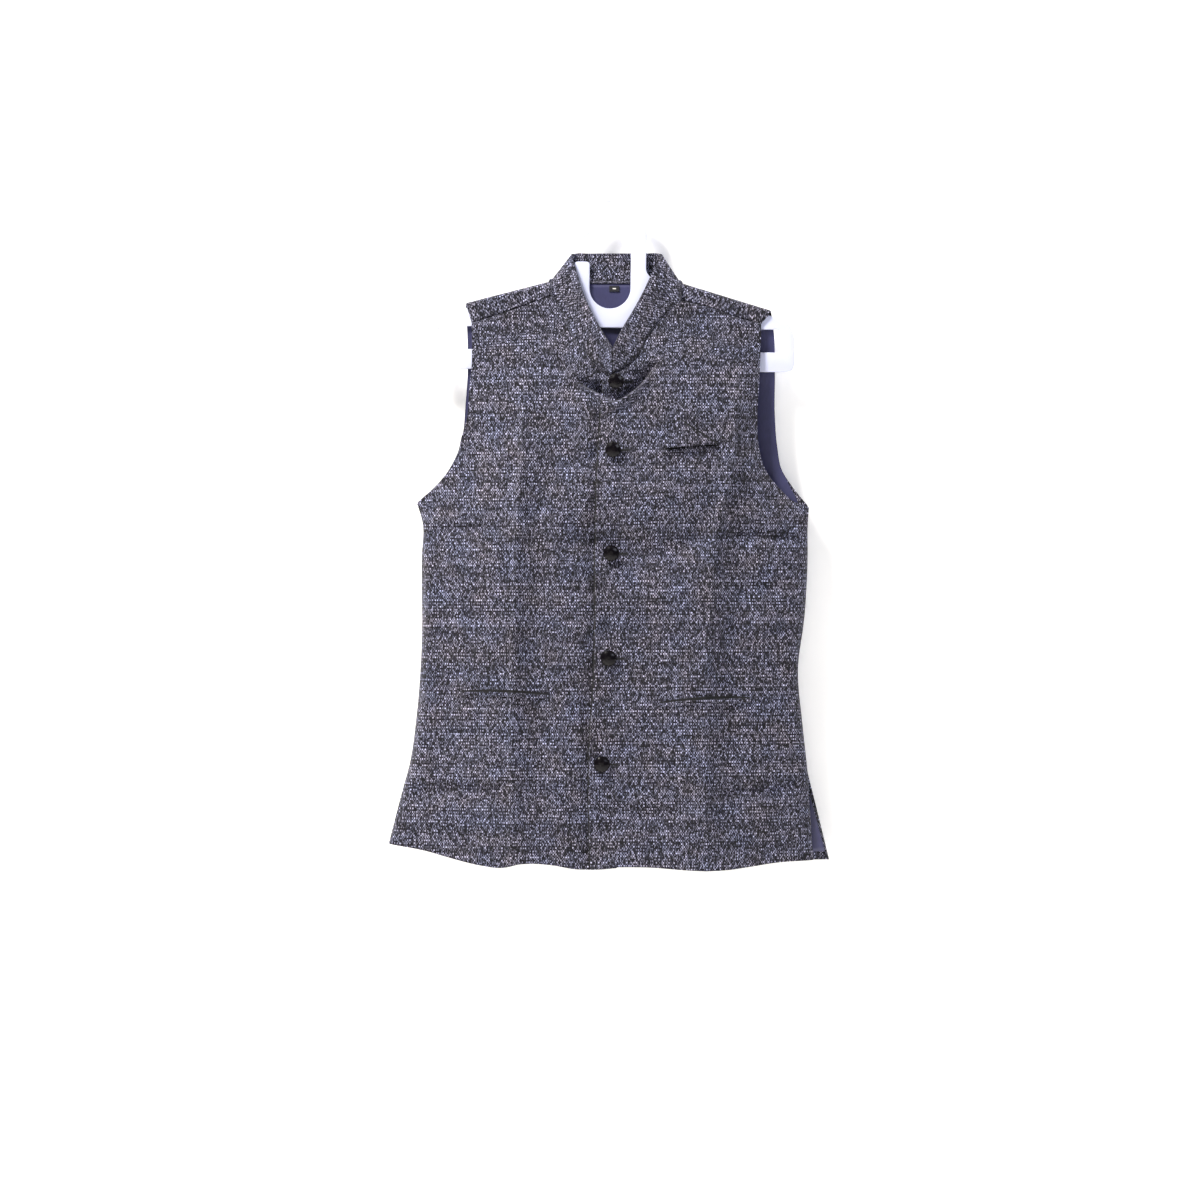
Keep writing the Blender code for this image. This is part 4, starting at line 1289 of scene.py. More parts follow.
@dataclass
class Back:
    """The back, which wraps over the shoulders, and its lining."""

    columns: int = 150
    rows: int = 150
    lining_columns: int = 110
    lining_rows: int = 120
    neck_start: float = 0.276
    neck_end: float = 0.702
    neck_drop: float = 97.0
    ridge_radius: float = 5.8
    seam_y: float = -5.0
    top_y: float = 6.6
    seam_gap: float = 0.6
    wrap_turns: tuple[float, ...] = (180, 165, 150, 135, 120, 105, 90, 75, 60, 45, 30, 15)
    wrap_rows: int = 7
    lining_start: float = 0.001
    lining_end: float = 0.985
    lean: float = 0.25
    pucker: float = 0.35
    pucker_waves: tuple[float, float] = (0.55, 0.13)
    turn_share: float = 0.2

    def shoulders(self, share: Array, right: Sequence[Place], left: Sequence[Place]) -> Array:
        """Points of the right trail up to the neck and of the left trail from there on."""
        on_right = Trail(tuple(right))(np.clip(share / self.neck_start, 0, 1))
        on_left = Trail(tuple(left))(np.clip((share - self.neck_end) / (1 - self.neck_end), 0, 1))
        return np.where((share <= self.neck_start)[:, None], on_right, on_left)

    def top(self, share: Array) -> Array:
        """Upper edge: shoulder, neckline, shoulder.

        Args:
            share: Shares across.

        Returns:
            An array of (x, drop).
        """
        ridge = self.shoulders(share, RIGHT_RIDGE, LEFT_RIDGE)
        across = (share - self.neck_start) / (self.neck_end - self.neck_start)
        neck_x = RIGHT_RIDGE[1].x + across * (LEFT_RIDGE[0].x - RIGHT_RIDGE[1].x)
        neck = (share > self.neck_start) & (share < self.neck_end)
        x = np.where(neck, neck_x, ridge[:, 0])
        return np.stack([x, np.where(neck, self.neck_drop, ridge[:, 1] + self.ridge_radius)], axis=-1)

    def places(self, across: Array, down: Array, inset: Callable[[Array], Array]) -> Array:
        """Places of the back's cut.

        Args:
            across: Shares across.
            down: Shares down.
            inset: How far the side edges come in at each drop.

        Returns:
            An array of (x, drop), row by row.
        """

        def side(edge: SeamEdge) -> Callable[[Array], Array]:
            """One side edge."""

            def at(share: Array) -> Array:
                """Points down it."""
                drop = edge.top + share * (edge.low - edge.top)
                x = edge.measure("x", drop)
                return np.stack([x - np.sign(x) * inset(drop), drop], axis=-1)

            return at

        def hem(share: Array) -> Array:
            """Lower edge."""
            low_inset = inset(np.array([BACK_HEM[0].drop]))[0]
            first, last = BACK_HEM[0].x + low_inset, BACK_HEM[-1].x - low_inset
            x = first + share * (last - first)
            return np.stack([x, run(BACK_HEM, "drop", "x")(x)], axis=-1)

        return coons(self.top, hem, side(BACK_RIGHT_EDGE), side(BACK_LEFT_EDGE), across, down)

    def wrap(self, across: Array) -> Array:
        """Rows that go from the front seam over the shoulder, with no cloth across the neck.

        Args:
            across: Shares across.

        Returns:
            Rows of points in metres, NaN across the neck.
        """
        ridge = self.shoulders(across, RIGHT_RIDGE, LEFT_RIDGE)
        seam = self.shoulders(across, RIGHT_SHOULDER_SEAM, LEFT_SHOULDER_SEAM[::-1])
        neck = (across > self.neck_start) & (across < self.neck_end)
        middle, half = (self.top_y + self.seam_y) / 2, (self.top_y - self.seam_y) / 2
        arc_rows = []
        for turn in self.wrap_turns:
            angle = math.radians(turn)
            lean = (seam[:, 0] - ridge[:, 0]) * self.lean * (1 - math.cos(angle)) / 2
            drop = ridge[:, 1] + self.ridge_radius * (1 - math.sin(angle))
            y = np.full_like(drop, middle + half * math.cos(angle))
            arc_rows.append(to_world(ridge[:, 0] + lean, y, drop))
        y = np.full(len(across), self.seam_y)
        fast, slow = self.pucker_waves
        pucker = self.pucker * np.sin(seam[:, 0] * fast) * np.sin(seam[:, 0] * slow)
        end = to_world(seam[:, 0], y + pucker, seam[:, 1] - self.seam_gap)
        plain = [end + (arc_rows[0] - end) * share for share in np.linspace(0, 1, self.wrap_rows)[:-1]]
        rows = np.array(plain + arc_rows)
        rows[:, neck] = np.nan
        return rows

    def shares(self, count: int) -> Array:
        """Columns across, with one on each end of the neck."""
        shares = panel_shares(count, FORM.side_return * self.turn_share, True)
        for wanted in (self.neck_start, self.neck_end):
            shares[np.argmin(np.abs(shares - wanted))] = wanted
        return shares

    def build(self, finishes: Finishes) -> None:
        """Make the back's shell and put it in place."""
        across = self.shares(self.columns)
        wrapped = self.wrap(across)
        cut = self.places(across, np.linspace(0, 1, self.rows), lambda drop: np.zeros_like(drop))
        x, drop = cut[..., 0], cut[..., 1]
        points = np.concatenate([wrapped, to_world(x, FORM.back(x, drop), drop)])
        uv = woven_places(points, start_row=len(wrapped))
        piece = sheet_object("back_shell", points[:, ::-1], uv[:, ::-1], [finishes[Finish.TWEED]])
        thicken(piece, FORM.cloth_wall)
        settle(piece, Finish.TWEED, "back")

    def build_lining(self, finishes: Finishes) -> None:
        """Make the lining's shell and put it in place."""
        drops, insets = zip(*LINING_INSETS)
        down = np.linspace(self.lining_start, self.lining_end, self.lining_rows)
        across = self.shares(self.lining_columns)
        cut = self.places(across, down, lambda drop: np.interp(drop, drops, insets))
        x, drop = cut[..., 0], cut[..., 1]
        points = to_world(x, FORM.lining(x, drop), drop)
        piece = sheet_object("back_lining_shell", points, woven_places(points), [finishes[Finish.LINING]])
        thicken(piece, FORM.lining_wall)
        settle(piece, Finish.LINING, "back_lining")


@dataclass
class Collar:
    """The band collar, from the right front's end round the back to the left front's end."""

    wall: float = 2.4
    neck_gap: float = 0.5
    back_low: float = 96.4
    back_top: float = 61.0
    back_low_y: float = 6.6
    back_top_y: float = 7.2
    back_stations: int = 9
    along: int = 230
    across: int = 18
    crown: float = 0.9
    seam_rows: int = 6
    seam_depth: float = 2.9
    seam_width: float = 3.2
    back_seam_share: float = 0.25
    back_reach: tuple[float, float] = (0.04, 0.96)
    allowance_bend: float = 0.4
    step_share: float = 0.5

    def station(self, band: BandRow) -> tuple[Array, Array]:
        """Seam point and top point of one station, in millimetres (x, y, drop)."""
        rise = np.array([band.top_x - band.low_x, band.top_drop - band.low_drop])
        x, drop = np.array([band.low_x, band.low_drop]) + self.neck_gap * rise / np.hypot(*rise)
        y = float(FORM.front(np.array([x]), np.array([drop]))[0])
        return np.array([x, y, drop]), np.array([band.top_x, band.top_y, band.top_drop])

    def turn(self, band: BandRow) -> tuple[Array, Array]:
        """The station where the band turns from front to back."""
        return np.array([band.low_x, 0.0, band.low_drop]), np.array([band.top_x, band.top_y, band.top_drop])

    def stations(self) -> tuple[Array, Array]:
        """All seam points and all top points."""
        pairs = [self.station(band) for band in RIGHT_BAND] + [self.turn(RIGHT_TURN)]
        for share in np.linspace(*self.back_reach, self.back_stations):
            low_x = RIGHT_TURN.low_x + share * (LEFT_TURN.low_x - RIGHT_TURN.low_x)
            top_x = RIGHT_TURN.top_x + share * (LEFT_TURN.top_x - RIGHT_TURN.top_x)
            low = np.array([low_x, self.back_low_y, self.back_low])
            pairs.append((low, np.array([top_x, self.back_top_y, self.back_top])))
        pairs += [self.turn(LEFT_TURN)] + [self.station(band) for band in LEFT_BAND]
        return np.array([pair[0] for pair in pairs]), np.array([pair[1] for pair in pairs])

    def grid(self, along: Array, across: Array) -> Array:
        """Points of the band's outer face, from its top edge (0) to its seam (1).

        Past 1 they go on into the seam allowance, which steps in behind the fronts and the back.

        Args:
            along: Shares along the band.
            across: Shares across it, from 0 to 2.

        Returns:
            A grid of (x, y, drop), in millimetres.
        """
        lows, tops = self.stations()
        reach = np.concatenate([[0.0], np.cumsum(np.linalg.norm(np.diff((lows + tops) / 2, axis=0), axis=1))])
        at = along * reach[-1]
        low = np.stack([Run(tuple(reach), tuple(lows[:, k]))(at) for k in range(3)], axis=-1)
        top = np.stack([Run(tuple(reach), tuple(tops[:, k]))(at) for k in range(3)], axis=-1)
        share = np.minimum(across, 1)[:, None, None]
        flat = top[None] * (1 - share) + low[None] * share
        facing = -np.cos(2 * np.pi * along)[None, :]
        flat[..., 1] += self.crown * np.sin(np.pi * share[..., 0]) * facing
        turned_in = np.maximum(across - 1, 0)[:, None]
        down = (low - top) / np.linalg.norm(low - top, axis=1)[:, None]
        width = self.seam_width * (1 - (1 - self.back_seam_share) * smooth(facing * 2))
        bend = smooth((turned_in - self.allowance_bend) / (1 - self.allowance_bend))
        flat += (width * bend)[..., None] * down[None]
        flat[..., 1] -= self.seam_depth * smooth(turned_in / self.step_share) * facing
        return flat

    def build(self, finishes: Finishes) -> None:
        """Make the band and put it in place."""
        across = np.concatenate([np.linspace(0, 1, self.across), np.linspace(1, 2, self.seam_rows)[1:]])
        places = self.grid(np.linspace(0, 1, self.along), across)[:, ::-1]
        points = to_world(places[..., 0], places[..., 1], places[..., 2])
        length = np.linalg.norm(np.diff(points[self.across // 2], axis=0), axis=1)
        u = np.concatenate([[0.0], np.cumsum(length)])
        height = np.linalg.norm(points[0] - points[self.across - 1], axis=1).mean()
        uv = np.stack(np.broadcast_arrays(u[None, :], across[:, None] * height), axis=-1)
        piece = sheet_object("collar_shell", points, uv, [finishes[Finish.TWEED]])
        thicken(piece, self.wall)
        settle(piece, Finish.TWEED, "collar")


# ---- what lies on the cloth


Surface = Callable[[Array, Array], Array]


def patch(
    name: str, surface: Surface, cut: Array, lift: Array | float, wall: float, material: bpy.types.Material
) -> bpy.types.Object:
    """A thin sheet that lies on another and follows it.

    Args:
        name: The object's name.
        surface: Depth of the cloth that it lies on.
        cut: Grid of (x, drop), rows downwards, in millimetres.
        lift: How far its outer face stands off that cloth towards the front.
        wall: Its thickness.
        material: Its material.

    Returns:
        The object, with its wall on.
    """
    x, drop = cut[..., 0], cut[..., 1]
    points = to_world(x, surface(x, drop) - lift, drop)
    piece = sheet_object(name, points, woven_places(points), [material])
    thicken(piece, wall)
    return piece


@dataclass(frozen=True)
class Opening:
    """A pocket's opening line, seen from the front, in millimetres."""

    x0: float
    drop0: float
    x1: float
    drop1: float
    sag: float

    def line(self, share: Array) -> Array:
        """Points along the line."""
        x = self.x0 + share * (self.x1 - self.x0)
        drop = self.drop0 + share * (self.drop1 - self.drop0) + self.sag * np.sin(np.pi * share)
        return np.stack([x, drop], axis=-1)


POCKETS = {
    "chest_welt": Opening(62.0, 299.5, 128.0, 294.5, -1.5),
    "pocket_jet_right": Opening(-180.0, 587.0, -76.0, 590.5, -1.5),
    "pocket_jet_left": Opening(57.0, 600.0, 166.0, 594.5, -1.5),
}


@dataclass
class PocketEdge:
    """The strip that edges a pocket's opening, and above it a near-black sheet of painted shade in the mouth.
    """

    node: str
    opening: Opening
    height: float = 5.0
    wall: float = 1.0
    proud: float = 0.6
    crown: float = 1.0
    mouth_height: float = 3.4
    mouth_lift: float = 0.3
    mouth_wall: float = 0.15
    strip_cut: float = 12.0
    mouth_cut: float = 10.0
    mouth_ends: tuple[float, float] = (0.03, 0.97)
    mouth_overlap: float = 0.6
    strip_slack: float = 1.1
    mouth_slack: float = 1.3
    along: int = 64
    down: int = 9

    def strip(self, height: Array, start: Array | float = 0.0) -> Array:
        """Grid of places under the opening line.

        Args:
            height: Height of the strip along the line.
            start: How far under the line it starts.

        Returns:
            A grid of (x, drop).
        """
        share = np.linspace(0, 1, self.along)
        line = np.repeat(self.opening.line(share)[None], self.down, axis=0)
        line[..., 1] += start + np.linspace(0, 1, self.down)[:, None] * height
        return line

    def build(self, finishes: Finishes) -> None:
        """Make the strip and the mouth's sheet of painted shade and put them in place."""
        round_over = self.crown * np.sin(np.pi * np.linspace(0, 1, self.down))[:, None]
        lift = self.proud + self.wall + round_over
        cut = self.strip(np.full(self.along, self.height))
        piece = patch(f"{self.node}_strip", FORM.front, cut, lift, self.wall, finishes[Finish.TWEED])
        settle(piece, Finish.TWEED, self.node)
        # The mouth is a near-black sheet of painted shade over the pocket's opening, made from real pocketing
        # cloth.
        lens = self.mouth_height * np.sin(np.pi * np.linspace(*self.mouth_ends, self.along)) ** 0.5
        cut = self.strip(lens + self.mouth_overlap, -lens)
        pocketing = finishes[Finish.POCKETING]
        mouth = patch(f"{self.node}_mouth", FORM.front, cut, self.mouth_lift, self.mouth_wall, pocketing)
        settle(mouth, Finish.LINING)


@dataclass
class PocketSquare:
    """The folded point of cloth that stands up out of the breast pocket."""

    tip: Place = Place(79.0, 262.0)
    left: Place = Place(65.0, 296.9)
    right: Place = Place(126.0, 292.4)
    wall: float = 1.6
    proud: float = 2.0
    fold_foot: float = 0.42
    fold_step: float = 2.0
    # The near-black layer of painted shadow that shows past the point's upper right edge.
    back_lift: float = 1.0
    back_wall: float = 0.4
    back_tip: Place = Place(80.0, 259.8)
    back_right: Place = Place(128.4, 291.6)
    tip_share: float = 0.06
    fold_ease: float = 0.05
    swell: float = 3.0
    swell_fall: float = 0.3
    across: int = 44
    down: int = 30

    def point(self, tip: Place, right: Place) -> tuple[Array, Array]:
        """Places of a folded point.

        Args:
            tip: Its tip.
            right: Its right foot.

        Returns:
            Its places, and their shares across and down.
        """
        down = np.linspace(self.tip_share, 1, self.down)[:, None, None]
        share = np.linspace(0, 1, self.across)[None, :, None]
        first = np.array(tip) * (1 - down) + np.array(self.left) * down
        last = np.array(tip) * (1 - down) + np.array(right) * down
        shares = np.concatenate(np.broadcast_arrays(share, down), axis=-1)
        return first * (1 - share) + last * share, shares

    def build(self, finishes: Finishes) -> None:
        """Make the point and, beyond its upper right edge, a near-black layer of painted shadow, and put them
        in place.
        """
        cut, share = self.point(self.tip, self.right)
        fold = self.fold_step * smooth((self.fold_foot - share[..., 0]) / self.fold_ease + 0.5)
        swell = self.swell * share[..., 0] * (1 - self.swell_fall * share[..., 1])
        lift = self.proud + self.wall + fold + swell
        piece = patch("pocket_square_fold", FORM.front, cut, lift, self.wall, finishes[Finish.TWEED])
        settle(piece, Finish.TWEED, "pocket_square")
        # A near-black layer set up and to the right of the point, so that it shows past the edge as painted
        # shadow.
        cut, _ = self.point(self.back_tip, self.back_right)
        lift = self.back_lift + self.back_wall
        back = patch("pocket_square_back", FORM.front, cut, lift, self.back_wall, finishes[Finish.POCKETING])
        settle(back, Finish.LINING)


@dataclass
class ClosingFacing:
    """A near-black strip of painted shadow, seen as a thin dark line along the left front's closing edge."""

    start: float = 248.0
    end: float = 796.0
    shown: float = 1.5
    tucked: float = 9.0
    behind: float = 2.3
    wall: float = 0.15
    used: float = 0.98
    across: int = 6
    down: int = 180

    def build(self, finishes: Finishes) -> None:
        """Make the strip and put it in place."""
        drop = np.linspace(self.start, self.end, self.down)
        side = np.linspace(-self.shown, self.tucked, self.across)
        x = run(LEFT_CLOSING, "x")(drop)[:, None] + side[None, :]
        cut = np.stack(np.broadcast_arrays(x, drop[:, None]), axis=-1)
        # The strip's near-black colour is painted shadow, in the crevice just behind the closing edge.
        facing = finishes[Finish.POCKETING]
        piece = patch("closing_facing_strip", FORM.front, cut, -self.behind, self.wall, facing)
        settle(piece, Finish.LINING)


@dataclass
class NeckLabel:
    """Small woven label under the collar seam, with a plain pale bar woven in."""

    at: Place = Place(4.0, 104.0)
    width: float = 12.0
    height: float = 7.0
    cut_height: float = 11.0
    wall: float = 0.6
    proud: float = 0.6
    across: int = 25
    down: int = 15
    bar_columns: tuple[int, int] = (8, 16)
    bar_rows: tuple[int, int] = (5, 8)

    def build(self, finishes: Finishes) -> None:
        """Make the label and put it in place."""
        x = self.at.x + self.width * (np.linspace(0, 1, self.across) - 0.5)
        drop = self.at.drop + self.height * (np.linspace(0, 1, self.down) - 0.5)
        cut = np.stack(np.meshgrid(x, drop), axis=-1)
        lift = self.proud + self.wall
        piece = patch("neck_label_tape", FORM.lining, cut, lift, self.wall, finishes[Finish.LABEL])
        piece.data.materials.append(finishes[Finish.MARK])
        columns = self.across - 1
        for row in range(*self.bar_rows):
            for column in range(*self.bar_columns):
                piece.data.polygons[row * columns + column].material_index = 1
        settle(piece, Finish.LABEL, "neck_label")


# ---- buttons


class Ring(NamedTuple):
    """One turned ring of a button: shares of its radius and height, and its turn in facets."""

    radius: float
    height: float
    turn: float


@dataclass
class CutButton:
    """A domed button with two rows of cut facets, on a thread shank."""

    number: int
    facets: int = 14
    shank_radius: float = 2.2
    shank_sides: int = 12
    shank_length: float = 3.0
    shank_sink: float = 0.3
    post: tuple[Ring, ...] = table(Ring, (0, 0, 0), (1, 0, 0), (0.8, 0.5, 0), (1, 1, 0), (0, 1, 0))
    rings: tuple[Ring, ...] = table(
        Ring,
        (0, 0.02, 0),
        (0.55, 0, 0),
        (0.92, 0.12, 0),
        (1, 0.34, 0),
        (0.985, 0.46, 0.5),
        (0.80, 0.74, 0),
        (0.52, 0.93, 0.5),
        (0.24, 1, 0),
        (0, 1, 0),
    )

    def turned(
        self, bm: bmesh.types.BMesh, rings: Sequence[Ring], sides: int, place: Vector, size: Vector
    ) -> None:
        """Add a closed turned body; rings with no radius are its poles.

        Args:
            bm: The mesh to add to.
            rings: Rings from the back to the front.
            sides: Facets round it.
            place: Middle of its back.
            size: Radius across, height towards the front, radius down.
        """
        loops = []
        for ring in rings:
            count = sides if ring.radius else 1
            loop = []
            for i in range(count):
                angle = 2 * math.pi * (i + ring.turn) / sides
                offset = (
                    size.x * ring.radius * math.cos(angle),
                    -size.y * ring.height,
                    size.z * ring.radius * math.sin(angle),
                )
                loop.append(bm.verts.new(place + Vector(offset)))
            loops.append(loop)
        for (first, lower), (second, upper) in zip(zip(rings, loops), zip(rings[1:], loops[1:])):
            for i in range(sides):
                a, b = lower[i % len(lower)], lower[(i + 1) % len(lower)]
                c, d = upper[i % len(upper)], upper[(i + 1) % len(upper)]
                if len(lower) == 1:
                    bm.faces.new((a, c, d))
                elif len(upper) == 1:
                    bm.faces.new((a, b, c))
                elif second.turn > first.turn:
                    bm.faces.new((a, b, c))
                    bm.faces.new((b, d, c))
                else:
                    bm.faces.new((a, b, d))
                    bm.faces.new((a, d, c))

    def build(self, finishes: Finishes) -> None:
        """Make the button and its shank where the solid is."""
        node = f"button_{self.number}"
        low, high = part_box(node)
        size = (high - low) / 2
        back = Vector((low.x + size.x, high.y, low.z + size.z))
        bm = bmesh.new()
        self.turned(bm, self.rings, self.facets, back, Vector((size.x, 2 * size.y, size.z)))
        resin_faces = len(bm.faces)
        radius = self.shank_radius * MM
        foot = back + Vector((0.0, self.shank_length * MM, 0.0))
        size = Vector((radius, (self.shank_length + self.shank_sink) * MM, radius))
        self.turned(bm, self.post, self.shank_sides, foot, size)
        bm.faces.ensure_lookup_table()
        for face in bm.faces[resin_faces:]:
            face.material_index = 1
            face.smooth = True
        bmesh.ops.recalc_face_normals(bm, faces=bm.faces)
        mesh = bpy.data.meshes.new(node)
        bm.to_mesh(mesh)
        bm.free()
        mesh.materials.append(finishes[Finish.BUTTON])
        mesh.materials.append(finishes[Finish.THREAD])
        settle(link(f"{node}_cut", mesh), Finish.BUTTON, node)


# ---- stitching


class StitchInput(Enum):
    """The named inputs of the stitch tree."""

    SPACING = "Spacing"
    LENGTH = "Length"
    THICKNESS = "Thickness"
    TURN = "Turn"
    SEED = "Seed"
    THREAD = "Thread"


class StitchTree:
    """The Geometry Nodes tree that lays one arched stitch after another along a path."""

    sides: int = 6
    segments: int = 4
    wobble: float = 0.09
    sink: float = 1.6

    def __init__(self) -> None:
        """Build the tree."""
        self.tree = bpy.data.node_groups.new("stitches_along_path", "GeometryNodeTree")
        kinds = {
            StitchInput.SPACING: "NodeSocketFloat",
            StitchInput.LENGTH: "NodeSocketFloat",
            StitchInput.THICKNESS: "NodeSocketFloat",
            StitchInput.TURN: "NodeSocketFloat",
            StitchInput.SEED: "NodeSocketInt",
            StitchInput.THREAD: "NodeSocketMaterial",
        }
        interface = self.tree.interface
        interface.new_socket("Path", in_out="INPUT", socket_type="NodeSocketGeometry")
        self.sockets = {}
        for key, kind in kinds.items():
            self.sockets[key] = interface.new_socket(key.value, in_out="INPUT", socket_type=kind)
        interface.new_socket("Stitches", in_out="OUTPUT", socket_type="NodeSocketGeometry")
        self.wire()

    def stitch(
        self, put: Put, length: bpy.types.NodeSocket, thickness: bpy.types.NodeSocket
    ) -> bpy.types.NodeSocket:
        """One arched stitch of thread along X, with its ends sunk in the cloth.

        Args:
            put: Adds a node.
            length: Length of the stitch.
            thickness: Thickness of the thread.

        Returns:
            The stitch's geometry.
        """
        radius = put("ShaderNodeMath", {0: thickness, 1: 0.5}, operation="MULTIPLY")
        size = {"Vertices": self.sides, "Side Segments": self.segments, "Radius": radius, "Depth": length}
        rod = put("GeometryNodeMeshCylinder", size, fill_type="TRIANGLE_FAN")
        laid = put("GeometryNodeTransform", {0: rod, "Rotation": (0.0, math.radians(90), 0.0)})
        place = put("ShaderNodeSeparateXYZ", {0: put("GeometryNodeInputPosition")})
        half = put("ShaderNodeMath", {0: length, 1: 0.5}, operation="MULTIPLY")
        share = put("ShaderNodeMath", {0: place, 1: half}, operation="DIVIDE")
        share = put("ShaderNodeMath", {0: share}, operation="ABSOLUTE")
        share = put("ShaderNodeMath", {0: share, 1: 3.0}, operation="POWER")
        sink = put("ShaderNodeMath", {0: share, 1: radius}, operation="MULTIPLY")
        sink = put("ShaderNodeMath", {0: sink, 1: -self.sink}, operation="MULTIPLY")
        bent = put("GeometryNodeSetPosition", {0: laid, "Offset": put("ShaderNodeCombineXYZ", {2: sink})})
        return put("GeometryNodeSetShadeSmooth", {0: bent})

    def wire(self) -> None:
        """Add and link the nodes."""
        put = partial(add_node, self.tree)
        given = {socket.name: socket for socket in put("NodeGroupInput").node.outputs}
        value = {key: given.get(key.value) for key in StitchInput}
        path = put("GeometryNodeMeshToCurve", {0: given["Path"]})
        spaced = put(
            "GeometryNodeResampleCurve", {0: path, "Length": value[StitchInput.SPACING]}, mode="LENGTH"
        )
        outward = put("GeometryNodeInputNamedAttribute", {"Name": "outward"}, data_type="FLOAT_VECTOR")
        tangent = put("GeometryNodeInputTangent")
        along = put("FunctionNodeAlignRotationToVector", {"Vector": tangent}, axis="X")
        facing = {"Rotation": along, "Vector": outward}
        upright = put("FunctionNodeAlignRotationToVector", facing, axis="Z", pivot_axis="X")
        spread = {2: -self.wobble, 3: self.wobble, "Seed": value[StitchInput.SEED]}
        wobble = put("FunctionNodeRandomValue", spread, 1, data_type="FLOAT")
        angle = put("ShaderNodeMath", {0: value[StitchInput.TURN], 1: wobble}, operation="ADD")
        turn = put("FunctionNodeEulerToRotation", {0: put("ShaderNodeCombineXYZ", {2: angle})})
        turned = put("FunctionNodeRotateRotation", {0: upright, 1: turn}, rotation_space="LOCAL")
        stitch = self.stitch(put, value[StitchInput.LENGTH], value[StitchInput.THICKNESS])
        laid = put("GeometryNodeInstanceOnPoints", {"Points": spaced, "Instance": stitch, "Rotation": turned})
        real = put("GeometryNodeRealizeInstances", {0: laid})
        dressed = put("GeometryNodeSetMaterial", {0: real, "Material": value[StitchInput.THREAD]})
        put("NodeGroupOutput", {0: dressed})

    def sew(
        self, name: str, paths: Sequence[tuple[Array, Array]], values: dict[StitchInput, object]
    ) -> bpy.types.Object:
        """Lay stitches along paths.

        Args:
            name: The object's name.
            paths: Pairs of points and outward directions, in metres.
            values: A value for each input of the tree.

        Returns:
            A plain mesh object of all the stitches.
        """
        points = np.concatenate([path[0] for path in paths])
        outward = np.concatenate([path[1] for path in paths])
        edges, first = [], 0
        for path, _ in paths:
            edges += [(first + i, first + i + 1) for i in range(len(path) - 1)]
            first += len(path)
        mesh = bpy.data.meshes.new(name)
        mesh.from_pydata(points.tolist(), edges, [])
        layer = mesh.attributes.new("outward", "FLOAT_VECTOR", "POINT")
        layer.data.foreach_set("vector", outward.reshape(-1))
        piece = link(name, mesh)
        modifier = piece.modifiers.new("stitches", "NODES")
        modifier.node_group = self.tree
        for key, value in values.items():
            modifier[self.sockets[key].identifier] = value
        graph = bpy.context.evaluated_depsgraph_get()
        sewn = bpy.data.meshes.new_from_object(piece.evaluated_get(graph))
        piece.modifiers.clear()
        piece.data = sewn
        return piece


def on_surface(surface: Surface, cut: Array, facing: int = -1, lift: float = 0.1) -> tuple[Array, Array]:
    """A path on a cloth.

    Args:
        surface: Depth of the cloth.
        cut: Points (x, drop) along the path, in millimetres.
        facing: -1 where its outer face is towards the front, 1 towards the back.
        lift: How far the path stands off the cloth.

    Returns:
        Its points and its outward directions.
    """
    x, drop = cut[:, 0], cut[:, 1]
    y = surface(x, drop)
    slope_x, slope_drop = surface(x + 1, drop) - y, surface(x, drop + 1) - y
    outward = np.stack([-facing * slope_x, np.full_like(x, facing), facing * slope_drop], axis=-1)
    outward /= np.linalg.norm(outward, axis=1)[:, None]
    return to_world(x, y, drop) + outward * lift * MM, outward


